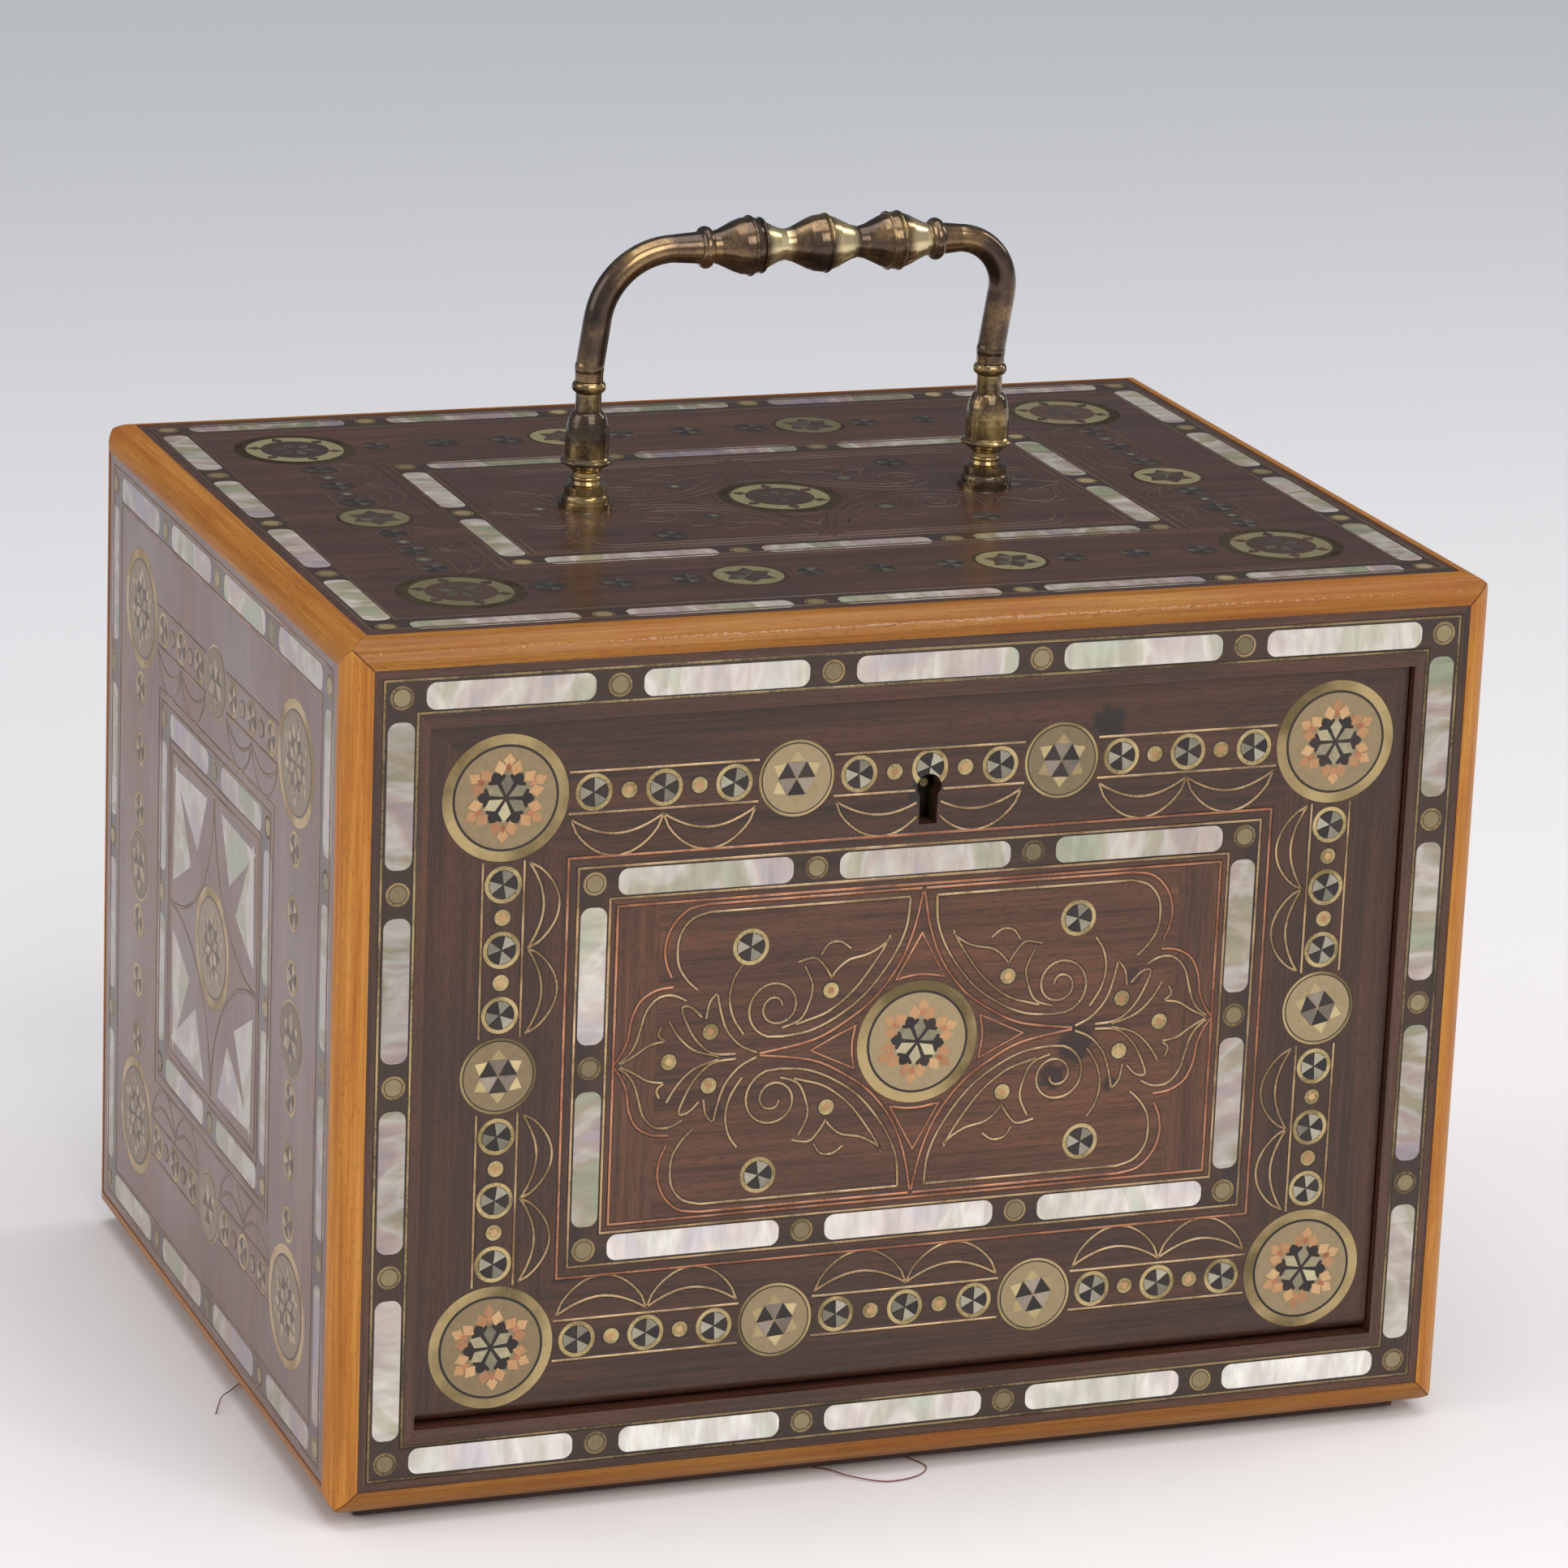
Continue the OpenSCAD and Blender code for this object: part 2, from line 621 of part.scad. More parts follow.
// The straight top of the handle with its turned grip: three bellies between two beads
function belly(t) = waist_r + (belly_r - waist_r) * pow((1 - cos(360 * t)) / 2, 0.8);
module grip(before, after) {
  steps = 30;
  end = 2 * grip_bead_r - 0.4;
  inner = grip_l - 2 * end;
  rotate_extrude() polygon(concat(
    [[0, -before], [rod_r, -before]],
    arc([rod_r, grip_bead_r], grip_bead_r, grip_bead_r, -75, 75),
    [for (i = [0:steps]) [belly(3 * i / steps), end + inner * i / steps]],
    arc([rod_r, grip_l - grip_bead_r], grip_bead_r, grip_bead_r, -75, 75),
    [[rod_r, grip_l + after], [0, grip_l + after]]));
}
module handle_bail() {
  kink_z = post_h + leg_kink;
  c_left = [post_x[0] + (grip_z - kink_z - bend_left_r * (1 - sin(leg_lean))) * tan(leg_lean)
            + bend_left_r * cos(leg_lean), grip_z - bend_left_r];
  c_right = [post_x[1] + (grip_z - kink_z - bend_right_r * (1 + sin(leg_lean))) * tan(leg_lean)
             - bend_right_r * cos(leg_lean), grip_z - bend_right_r];
  grip_x0 = handle_shift + grip_shift - grip_l / 2;
  color(old_brass) translate([0, 0, top_z]) union() {
    for (x = post_x) {
      translate([x, 0, post_h - spigot_l]) cylinder(r = spigot_r, h = spigot_l + 1);
      translate([x, 0, post_h]) cylinder(r = rod_r, h = leg_kink);
      translate([x, 0, kink_z]) sphere(rod_r + kink_swell);
    }
    rod([post_x[0], kink_z], c_left + bend_left_r * [-cos(leg_lean), sin(leg_lean)]);
    rod([post_x[1], kink_z], c_right + bend_right_r * [cos(leg_lean), -sin(leg_lean)]);
    bend(c_left, bend_left_r, 90, 90 - leg_lean);
    bend(c_right, bend_right_r, -leg_lean, 90 + leg_lean);
    translate([grip_x0, 0, grip_z]) rotate([0, 90, 0])
      grip(grip_x0 - c_left[0], c_right[0] - grip_x0 - grip_l);
  }
}

// Nest: its front edges stop the closed fall
module side_cheeks() {
  color(pine) for (s = [-1, 1]) mirror([s < 0 ? 0 : 1, 0, 0])
    block([-in_w, nest_y0, in_z0], [-nest_w, in_d, in_z1]);
}
module top_liner() { color(pine) block([-nest_w, nest_y0, nest_z1], [nest_w, in_d, in_z1]); }
module floor_board() { color(pine) block([-nest_w, nest_y0, in_z0], [nest_w, in_d, floor_z]); }
module drawer_shelf() {
  color(rosewood) block([-nest_w, drawer_y0, shelf_z0], [nest_w, in_d, shelf_z1]);
}
module drawer_dividers() {
  color(rosewood) for (k = [1:DRAWERS - 1]) translate([drawer_x(k) + bay_w / 2, 0, 0])
    block([0, drawer_y0, shelf_z1], [divider_t, in_d, nest_z1]);
}
module bottle_dividers() {
  z1 = floor_z + strip_h;
  color(rosewood) {
    for (k = [1:LANES - 1]) translate([-nest_w + k * lane_w + (k - 1) * strip_t, 0, 0])
      block([0, nest_y0, floor_z], [strip_t, in_d, z1]);
    for (k = [0:LANES - 1], j = [1:ROWS - 1])
      translate([-nest_w + k * (lane_w + strip_t), nest_y0 + j * row_d + (j - 1) * strip_t, 0])
        block([0, 0, floor_z], [lane_w, strip_t, z1]);
  }
}
module strike_plate() {
  color(brass) difference() {
    strike_seat(0);
    strike_mortise();
  }
}

// Fall: its front lower edge is rounded about the pivot axis, so it clears the rail as it turns
module fall_shape(y0, y1) {
  difference() {
    block([-fall_w, y0, fall_z0], [fall_w, y1, fall_z1]);
    difference() {
      block([-fall_w - 1, fall_y0 - 1, fall_z0 - 1], [fall_w + 1, pivot_y, pivot_z]);
      translate([-fall_w - 2, pivot_y, pivot_z]) rotate([0, 90, 0])
        cylinder(r = pivot_set, h = 2 * fall_w + 4, $fn = 64);
    }
  }
}
module keyhole_cut(y0, y1) {
  translate([0, y1, key_z]) rotate([90, 0, 0]) linear_extrude(y1 - y0) keyhole_2d();
}
module lock_seat(gap) {
  block([-lock_w / 2 - gap, lock_y0 - gap, fall_z1 - lock_h - gap],
        [lock_w / 2 + gap, fall_y1 + 1, fall_z1 + 1]);
  block([-lock_w / 2 - lock_flange - gap, fall_y1 - lock_sheet, fall_z1 - lock_h - gap],
        [lock_w / 2 + lock_flange + gap, fall_y1 + 1, fall_z1 + 1]);
}
module lock_screw_places() {
  for (sx = [-1, 1], sz = [-1, 1])
    translate([sx * screw_dx, fall_y1, fall_z1 - lock_h / 2 + sz * screw_dz]) rotate([90, 0, 0]) children();
}
module fall_panel() {
  color(rosewood) difference() {
    fall_shape(fall_y0 + veneer_t, fall_y1);
    lock_seat(lock_gap);
    keyhole_cut(fall_y0, fall_y1);
    lock_screw_places() cylinder(r = screw_r + glue, h = screw_l + 0.5, $fn = 24);
    for (s = [-1, 1]) translate([s * (fall_w - pivot_in), pivot_y, pivot_z]) rotate([0, s * 90, 0])
      cylinder(r = pivot_r + glue, h = pivot_in + 1);
  }
}
module fall_veneer() {
  color(rosewood) difference() {
    intersection() {
      fall_shape(fall_y0, fall_y0 + veneer_t);
      on_front(fall_y0) translate([0, 0, -2 * veneer_t]) linear_extrude(3 * veneer_t) difference() {
        field_2d(half_w, half_h);
        panel_pearl_2d(half_w, half_h, glue);
        panel_brass_2d(half_w, half_h, glue);
      }
    }
    keyhole_cut(fall_y0 - 1, fall_y1);
  }
}
module fall_pearl_inlay() { color(pearl) on_front(fall_y0) let_in() panel_pearl_2d(half_w, half_h, 0); }
module fall_brass_inlay() {
  color(brass) difference() {
    on_front(fall_y0) let_in() panel_brass_2d(half_w, half_h, 0);
    keyhole_cut(fall_y0 - 1, fall_y1);
  }
}
module fall_pivots() {
  color(brass) for (s = [-1, 1])
    translate([s * (fall_w - pivot_in), pivot_y, pivot_z]) rotate([0, s * 90, 0])
      cylinder(r = pivot_r, h = pivot_in + fall_gap + pivot_out);
}

// Lock: a sheet box with a flange, a slot for the bolt and a pin for the key
module lock_case() {
  color(brass) difference() {
    union() {
      difference() {
        union() {
          block([-lock_w / 2, lock_y0, fall_z1 - lock_h], [lock_w / 2, fall_y1, fall_z1]);
          block([-lock_w / 2 - lock_flange, fall_y1 - lock_sheet, fall_z1 - lock_h],
                [lock_w / 2 + lock_flange, fall_y1, fall_z1]);
        }
        block([-lock_w / 2 + lock_sheet, lock_y0 + lock_sheet, fall_z1 - lock_h + lock_sheet],
              [lock_w / 2 - lock_sheet, fall_y1 - lock_sheet, fall_z1 - lock_sheet]);
        keyhole_cut(lock_y0 - 1, lock_y0 + lock_sheet + 1);
      }
      translate([0, fall_y1 - lock_sheet, key_z]) rotate([90, 0, 0])
        cylinder(r = key_pin_r, h = lock_t - lock_sheet + 0.5, $fn = 24);
    }
    block([-bolt_w / 2 - slide_gap, bolt_y - bolt_t / 2 - slide_gap, fall_z1 - 2 * lock_sheet],
          [bolt_w / 2 + slide_gap, bolt_y + bolt_t / 2 + slide_gap, fall_z1 + 1]);
    lock_screw_places() translate([0, 0, -1])
      cylinder(r = screw_head_r + glue, h = lock_sheet + 2, $fn = 24);
  }
}
module lock_screws() {
  color(brass) lock_screw_places() difference() {
    union() {
      cylinder(r = screw_head_r, h = lock_sheet, $fn = 24);
      cylinder(r = screw_r, h = screw_l, $fn = 24);
    }
    translate([-screw_head_r - 1, -slot_w / 2, -1]) cube([2 * screw_head_r + 2, slot_w, 1 + slot_w]);
  }
}
module lock_bolt() {
  color(brass) block([-bolt_w / 2, bolt_y - bolt_t / 2, bolt_z1 - bolt_l],
                     [bolt_w / 2, bolt_y + bolt_t / 2, bolt_z1]);
}

// Drawers: a veneered front, a tray of four boards and a turned knob
module drawer_front(k) {
  color(rosewood) translate([drawer_x(k), 0, 0]) difference() {
    block([-drawer_w / 2, drawer_y0, drawer_z0], [drawer_w / 2, tray_y0, drawer_z1]);
    translate([0, drawer_y0 - 1, drawer_z0 + drawer_h / 2]) rotate([-90, 0, 0])
      cylinder(r = knob_shank_r + glue, h = knob_shank + 1.5, $fn = 24);
  }
}
module drawer_tray(k) {
  w = drawer_w / 2;
  z1 = drawer_z0 + tray_h;
  color(pine) translate([drawer_x(k), 0, 0]) {
    for (s = [-1, 1]) mirror([s < 0 ? 0 : 1, 0, 0])
      block([-w, tray_y0, drawer_z0], [-w + drawer_wall, tray_y1, z1]);
    block([-w + drawer_wall, tray_y1 - drawer_wall, drawer_z0], [w - drawer_wall, tray_y1, z1]);
    block([-w + drawer_wall, tray_y0, drawer_z0],
          [w - drawer_wall, tray_y1 - drawer_wall, drawer_z0 + drawer_floor]);
  }
}
module drawer_knob(k) {
  color(brass) translate([drawer_x(k), drawer_y0, drawer_z0 + drawer_h / 2]) rotate([90, 0, 0]) union() {
    rotate_extrude($fn = 32) polygon(concat(
      [[0, 0], [knob_plate_r, 0], [knob_plate_r, knob_plate_t], [knob_neck_r, 2 * knob_plate_t]],
      arc([0, knob_l - knob_dome], knob_r, knob_dome, -50, 90)));
    translate([0, 0, -knob_shank]) cylinder(r = knob_shank_r, h = knob_shank + 1, $fn = 24);
  }
}

top_board();
bottom_board();
left_board();
right_board();
back_board();
top_rail();
bottom_rail();
left_stile();
right_stile();
top_veneer();
left_veneer();
right_veneer();
back_veneer();
frame_veneer();
front_edge_mouldings();
back_edge_mouldings();
side_edge_mouldings();
top_pearl_inlay();
side_pearl_inlay();
back_pearl_inlay();
frame_pearl_inlay();
top_brass_inlay();
side_brass_inlay();
back_brass_inlay();
frame_brass_inlay();
plinth();
base_baize();
handle_bail();
handle_posts();
handle_nuts();
side_cheeks();
top_liner();
floor_board();
drawer_shelf();
drawer_dividers();
bottle_dividers();
strike_plate();
fall_panel();
fall_veneer();
fall_pearl_inlay();
fall_brass_inlay();
fall_pivots();
lock_case();
lock_screws();
lock_bolt();
for (k = [1:DRAWERS]) {
  drawer_front(k);
  drawer_tray(k);
  drawer_knob(k);
}
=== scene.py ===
# %% [markdown]
# An antique apothecary box: rosewood veneer on a pine case, satinwood edge mouldings, and an inlay of
# mother-of-pearl, brass and copper string and small mosaic stars. Its front falls forward on two hidden pins.
# The solids come from the CAD model, already at their real place. They could be modelled again here, but
# then two shapes would drift apart, so this script keeps them and only adds what is too fine for a solid:
# finishes, string, mosaics, the cloth under the base.
# %% Load the box
import math
import random
import bmesh
import bpy
from mathutils import Matrix, Vector


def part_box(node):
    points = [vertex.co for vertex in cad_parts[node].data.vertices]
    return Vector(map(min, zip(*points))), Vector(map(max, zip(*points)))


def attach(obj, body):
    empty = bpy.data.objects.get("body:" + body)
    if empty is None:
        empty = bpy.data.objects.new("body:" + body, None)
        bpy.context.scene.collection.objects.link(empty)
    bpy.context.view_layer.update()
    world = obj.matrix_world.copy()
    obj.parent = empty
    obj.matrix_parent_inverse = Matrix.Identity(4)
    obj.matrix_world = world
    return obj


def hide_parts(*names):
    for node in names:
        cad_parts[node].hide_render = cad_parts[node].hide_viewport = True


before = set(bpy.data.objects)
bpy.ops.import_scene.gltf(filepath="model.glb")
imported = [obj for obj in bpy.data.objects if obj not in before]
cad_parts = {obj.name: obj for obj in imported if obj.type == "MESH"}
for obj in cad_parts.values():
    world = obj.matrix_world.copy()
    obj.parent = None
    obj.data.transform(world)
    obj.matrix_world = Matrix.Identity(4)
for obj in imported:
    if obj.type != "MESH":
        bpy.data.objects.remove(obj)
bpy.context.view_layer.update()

MM = 0.001

# %% [markdown]
# Node trees are easier to read when a node, its settings and its links stand on one line. The colours are
# written the way a painter's chart has them, as sRGB hex, and shaders want linear light, so one function
# turns the one into the other.
# %% Colours and nodes
def tone(code):
    parts = [int(code[i:i + 2], 16) / 255 for i in (1, 3, 5)]
    return [p / 12.92 if p <= 0.04045 else ((p + 0.055) / 1.055) ** 2.4 for p in parts] + [1.0]


def add(tree, kind, settings=None, inputs=None, stops=()):
    """One node, its settings, and its inputs: a socket is linked, anything else is set."""
    node = tree.nodes.new(kind)
    for name, value in (settings or {}).items():
        setattr(node, name, value)
    for key, value in (inputs or {}).items():
        if isinstance(value, bpy.types.NodeSocket):
            tree.links.new(value, node.inputs[key])
        else:
            node.inputs[key].default_value = value
    for i, (place, code) in enumerate(stops):
        ramp = node.color_ramp.elements
        step = ramp[i] if i < 2 else ramp.new(place)
        step.position = place
        step.color = tone(code)
    return node


# %% [markdown]
# Every finish starts the same way: a Principled shader, and the place of each point in millimetres. Working
# in millimetres lets each pattern be set by what a rule laid on the wood would read.
# %% Start a finish
def finish(name, rough, metal=0.0, coat=0.0, coat_rough=0.2):
    material = bpy.data.materials.new(name)
    material.use_nodes = True
    tree = material.node_tree
    shader = tree.nodes["Principled BSDF"]
    shader.inputs["Roughness"].default_value = rough
    shader.inputs["Metallic"].default_value = metal
    shader.inputs["Coat Weight"].default_value = coat
    shader.inputs["Coat Roughness"].default_value = coat_rough
    here = add(tree, "ShaderNodeTexCoord").outputs["Object"]
    place = add(tree, "ShaderNodeVectorMath", {"operation": "SCALE"}, {0: here, "Scale": 1 / MM}).outputs[0]
    return material, tree, shader, place


# %% [markdown]
# Wood is drawn with three layers. Broad figure is a cloud pulled long in the direction of the grain, the
# fine streaks are the same cloud pulled thinner, and the pores are short dashes 0.26 mm wide, which is at the
# coarse end of real rosewood, because finer ones would vanish in the render. A bump from the pores lets the
# polish break over them as it does on an old surface.
# %% Wood
def turned(tree, place, along):
    """The place with its X along the grain, for a grain that runs along x, y or z."""
    x, y, z = add(tree, "ShaderNodeSeparateXYZ", inputs={0: place}).outputs
    order = {"x": (x, y, z), "y": (y, x, z), "z": (z, x, y)}[along]
    return add(tree, "ShaderNodeCombineXYZ", inputs=dict(enumerate(order))).outputs[0]


def wood(tree, shader, grain, dark, mid, light, pore, figure_mm=(90, 6), streak_mm=(38, 0.9), pore_mm=(3.2, 0.26),
         pore_share=0.36, pore_depth=0.55, bump_mm=0.04):
    """Colours a shader as wood with its grain along X of the vector grain, and returns its colour socket."""
    clouds = []
    for (length, width), detail in ((figure_mm, 5), (streak_mm, 4), (pore_mm, 1)):
        pulled = add(tree, "ShaderNodeVectorMath", {"operation": "MULTIPLY"},
                     {0: grain, 1: (1 / length, 1 / width, 1 / width)}).outputs[0]
        clouds.append(add(tree, "ShaderNodeTexNoise", {}, {"Vector": pulled, "Scale": 1.0, "Detail": detail,
                                                           "Roughness": 0.6, "Distortion": 0.25}).outputs["Fac"])
    figure, streak, dots = clouds
    both = add(tree, "ShaderNodeMix", {"data_type": "FLOAT"}, {0: 0.5, 2: figure, 3: streak}).outputs[0]
    body = add(tree, "ShaderNodeValToRGB", {}, {0: both}, [(0.33, dark), (0.68, light), (0.5, mid)]).outputs[0]
    dash = add(tree, "ShaderNodeMapRange", {}, {0: dots, 1: pore_share, 2: pore_share + 0.08, 3: 1 - pore_depth, 4: 1.0}).outputs[0]
    colour = add(tree, "ShaderNodeMix", {"data_type": "RGBA"}, {0: dash, 6: tone(pore), 7: body}).outputs[2]
    height = add(tree, "ShaderNodeMix", {"data_type": "FLOAT"}, {0: 0.3, 2: dash, 3: streak}).outputs[0]
    bump = add(tree, "ShaderNodeBump", {}, {"Strength": 0.35, "Distance": bump_mm * MM, "Height": height})
    tree.links.new(bump.outputs[0], shader.inputs["Normal"])
    tree.links.new(colour, shader.inputs["Base Color"])
    return colour


# %% [markdown]
# The box has six inlaid faces. Each one gets a flat drawing board: a matrix whose X and Y lie in the face
# and whose Z points out of it. All inlay is then drawn flat, in millimetres, round the middle of its face. The
# alternative, drawing each line in space, would need the same sum six times over.
# %% Six drawing boards
low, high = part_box("front_edge_mouldings")
side_low, side_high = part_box("side_edge_mouldings")
HALF_W, HALF_D, HALF_H = high.x / MM, side_high.y / MM, (high.z - low.z) / 2 / MM
MID_Z = (high.z + low.z) / 2 / MM


def board(origin, across, up, half, body):
    across, up = Vector(across), Vector(up)
    out = across.cross(up)
    turn = Matrix((across, up, out)).transposed().to_4x4()
    return {"place": Matrix.Translation(origin) @ turn, "half": half, "body": body}


mid = MID_Z * MM
BOARDS = {
    "frame": board((0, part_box("frame_veneer")[0].y, mid), (1, 0, 0), (0, 0, 1), (HALF_W, HALF_H), "case"),
    "fall": board((0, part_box("fall_veneer")[0].y, mid), (1, 0, 0), (0, 0, 1), (HALF_W, HALF_H), "fall"),
    "back": board((0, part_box("back_veneer")[1].y, mid), (-1, 0, 0), (0, 0, 1), (HALF_W, HALF_H), "case"),
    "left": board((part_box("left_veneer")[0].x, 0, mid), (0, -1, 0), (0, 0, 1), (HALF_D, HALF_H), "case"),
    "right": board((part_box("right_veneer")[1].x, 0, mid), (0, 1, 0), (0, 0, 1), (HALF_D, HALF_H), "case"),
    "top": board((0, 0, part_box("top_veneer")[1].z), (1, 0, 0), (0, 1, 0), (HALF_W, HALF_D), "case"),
}
for name, b in BOARDS.items():
    print(name, "half", b["half"], "at", [round(v / MM, 2) for v in b["place"].translation])

# %% [markdown]
# Measures of the inlay, read off the photograph in millimetres. The border of pearl runs 13 mm in from the
# edge, the band of roundels 38.3 mm in, and the inner row of pearl 60 mm in. The string lines keep fixed
# distances from those middle lines, so the same five numbers serve every face.
# %% Measures of the inlay
BORDER_IN, BAND_IN, PANEL_IN = 13.0, 38.3, 60.0
STRING_W, GROOVE_W = 0.55, 0.95
LINE_OUT, LINE_IN = 4.0, 3.8
COPPER_OUT, COPPER_IN = 6.4, 5.7
BAND_LINE = 4.9
SUNK = 0.3
GREAT_R, MEDIUM_R, DISC_R, STUD_R = 14.9, 9.1, 4.4, 2.8
KEY_R, KEY_SLOT, KEY_LONG = 3.0, 4.4, 9.0
KEY_Y = 168.6 - MID_Z

# %% [markdown]
# Rosewood veneer is the ground of the whole box: red-brown with nearly black streaks and open pores, under an
# old shellac polish that has gone soft rather than mirror-like. Where the pearl is let in, the maker ran dark
# mastic round every plaque, so the ground between the two brass lines is almost black. A mask made of two
# nested rectangles darkens it there. It could be a separate strip of mesh, but a mask can fade unevenly.
# %% Rosewood
def between_lines(tree, place, flat, half):
    """1 inside the border's strip and the panel's strip of a face, 0 elsewhere."""
    x, y, z = add(tree, "ShaderNodeSeparateXYZ", inputs={0: place}).outputs
    z = add(tree, "ShaderNodeMath", {"operation": "SUBTRACT"}, {0: z, 1: MID_Z}).outputs[0]
    across, up = {"xz": (x, z), "yz": (y, z), "xy": (x, y)}[flat]
    across = add(tree, "ShaderNodeMath", {"operation": "ABSOLUTE"}, {0: across}).outputs[0]
    up = add(tree, "ShaderNodeMath", {"operation": "ABSOLUTE"}, {0: up}).outputs[0]
    strips = []
    for inset in (BORDER_IN, PANEL_IN):
        over = []
        for line in (LINE_OUT, -LINE_IN):
            dx = add(tree, "ShaderNodeMath", {"operation": "SUBTRACT"}, {0: across, 1: half[0] - inset + line}).outputs[0]
            dy = add(tree, "ShaderNodeMath", {"operation": "SUBTRACT"}, {0: up, 1: half[1] - inset + line}).outputs[0]
            far = add(tree, "ShaderNodeMath", {"operation": "MAXIMUM"}, {0: dx, 1: dy}).outputs[0]
            over.append(add(tree, "ShaderNodeMapRange", {}, {0: far, 1: -0.2, 2: 0.2}).outputs[0])
        strips.append(add(tree, "ShaderNodeMath", {"operation": "SUBTRACT"}, {0: over[1], 1: over[0]}).outputs[0])
    return add(tree, "ShaderNodeMath", {"operation": "MAXIMUM"}, {0: strips[0], 1: strips[1]}).outputs[0]


def dark_spots(tree, place, colour, spots):
    """Darkens round spots of a front face: each is x, height over the middle, radius and depth of the darkening."""
    x, y, z = add(tree, "ShaderNodeSeparateXYZ", inputs={0: place}).outputs
    flat = add(tree, "ShaderNodeCombineXYZ", inputs={0: x, 1: add(
        tree, "ShaderNodeMath", {"operation": "SUBTRACT"}, {0: z, 1: MID_Z}).outputs[0]}).outputs[0]
    cloud = add(tree, "ShaderNodeTexNoise", {}, {"Vector": flat, "Scale": 1 / 2.5, "Detail": 4.0, "Roughness": 0.7}).outputs["Fac"]
    for sx, sy, radius, depth in spots:
        away = add(tree, "ShaderNodeVectorMath", {"operation": "DISTANCE"}, {0: flat, 1: (sx, sy, 0.0)}).outputs["Value"]
        ragged = add(tree, "ShaderNodeMath", {"operation": "MULTIPLY_ADD"}, {0: cloud, 1: radius * 1.6, 2: away}).outputs[0]
        mask = add(tree, "ShaderNodeMapRange", {"interpolation_type": "SMOOTHSTEP"},
                   {0: ragged, 1: radius * 1.45, 2: radius * 1.95, 3: depth, 4: 0.0}).outputs[0]
        colour = add(tree, "ShaderNodeMix", {"data_type": "RGBA"}, {0: mask, 6: colour, 7: tone("#120c0a")}).outputs[2]
    return colour


def from_middle(tree, place):
    """How far a point of a front face is from the middle of the face, sideways and up."""
    far = add(tree, "ShaderNodeVectorMath", {"operation": "ABSOLUTE"}, {0: add(
        tree, "ShaderNodeVectorMath", {"operation": "SUBTRACT"}, {0: place, 1: (0.0, 0.0, MID_Z)}).outputs[0]}).outputs[0]
    x, y, z = add(tree, "ShaderNodeSeparateXYZ", inputs={0: far}).outputs
    return x, z


def banded(tree, place, half, inner, plain):
    """Grain along X, but upright in the two side bands. They begin at inner and, past the plain width, are mitred."""
    x, z = from_middle(tree, place)
    apart = add(tree, "ShaderNodeMath", {"operation": "SUBTRACT"}, {0: x, 1: z}).outputs[0]
    mitre = add(tree, "ShaderNodeMath", {"operation": "GREATER_THAN"}, {0: apart, 1: half[0] - half[1]}).outputs[0]
    outside = add(tree, "ShaderNodeMath", {"operation": "GREATER_THAN"}, {0: x, 1: inner}).outputs[0]
    upright = add(tree, "ShaderNodeMath", {"operation": "MULTIPLY"}, {0: mitre, 1: outside}).outputs[0]
    square = add(tree, "ShaderNodeMath", {"operation": "COMPARE"}, {0: x, 1: inner + plain / 2, 2: plain / 2}).outputs[0]
    low = add(tree, "ShaderNodeMath", {"operation": "LESS_THAN"}, {0: z, 1: half[1] - PANEL_IN - COPPER_IN}).outputs[0]
    square = add(tree, "ShaderNodeMath", {"operation": "MULTIPLY"}, {0: square, 1: low}).outputs[0]
    upright = add(tree, "ShaderNodeMath", {"operation": "MAXIMUM"}, {0: upright, 1: square}).outputs[0]
    return add(tree, "ShaderNodeMix", {"data_type": "VECTOR"},
               {0: upright, 4: turned(tree, place, "x"), 5: turned(tree, place, "z")}).outputs[1]


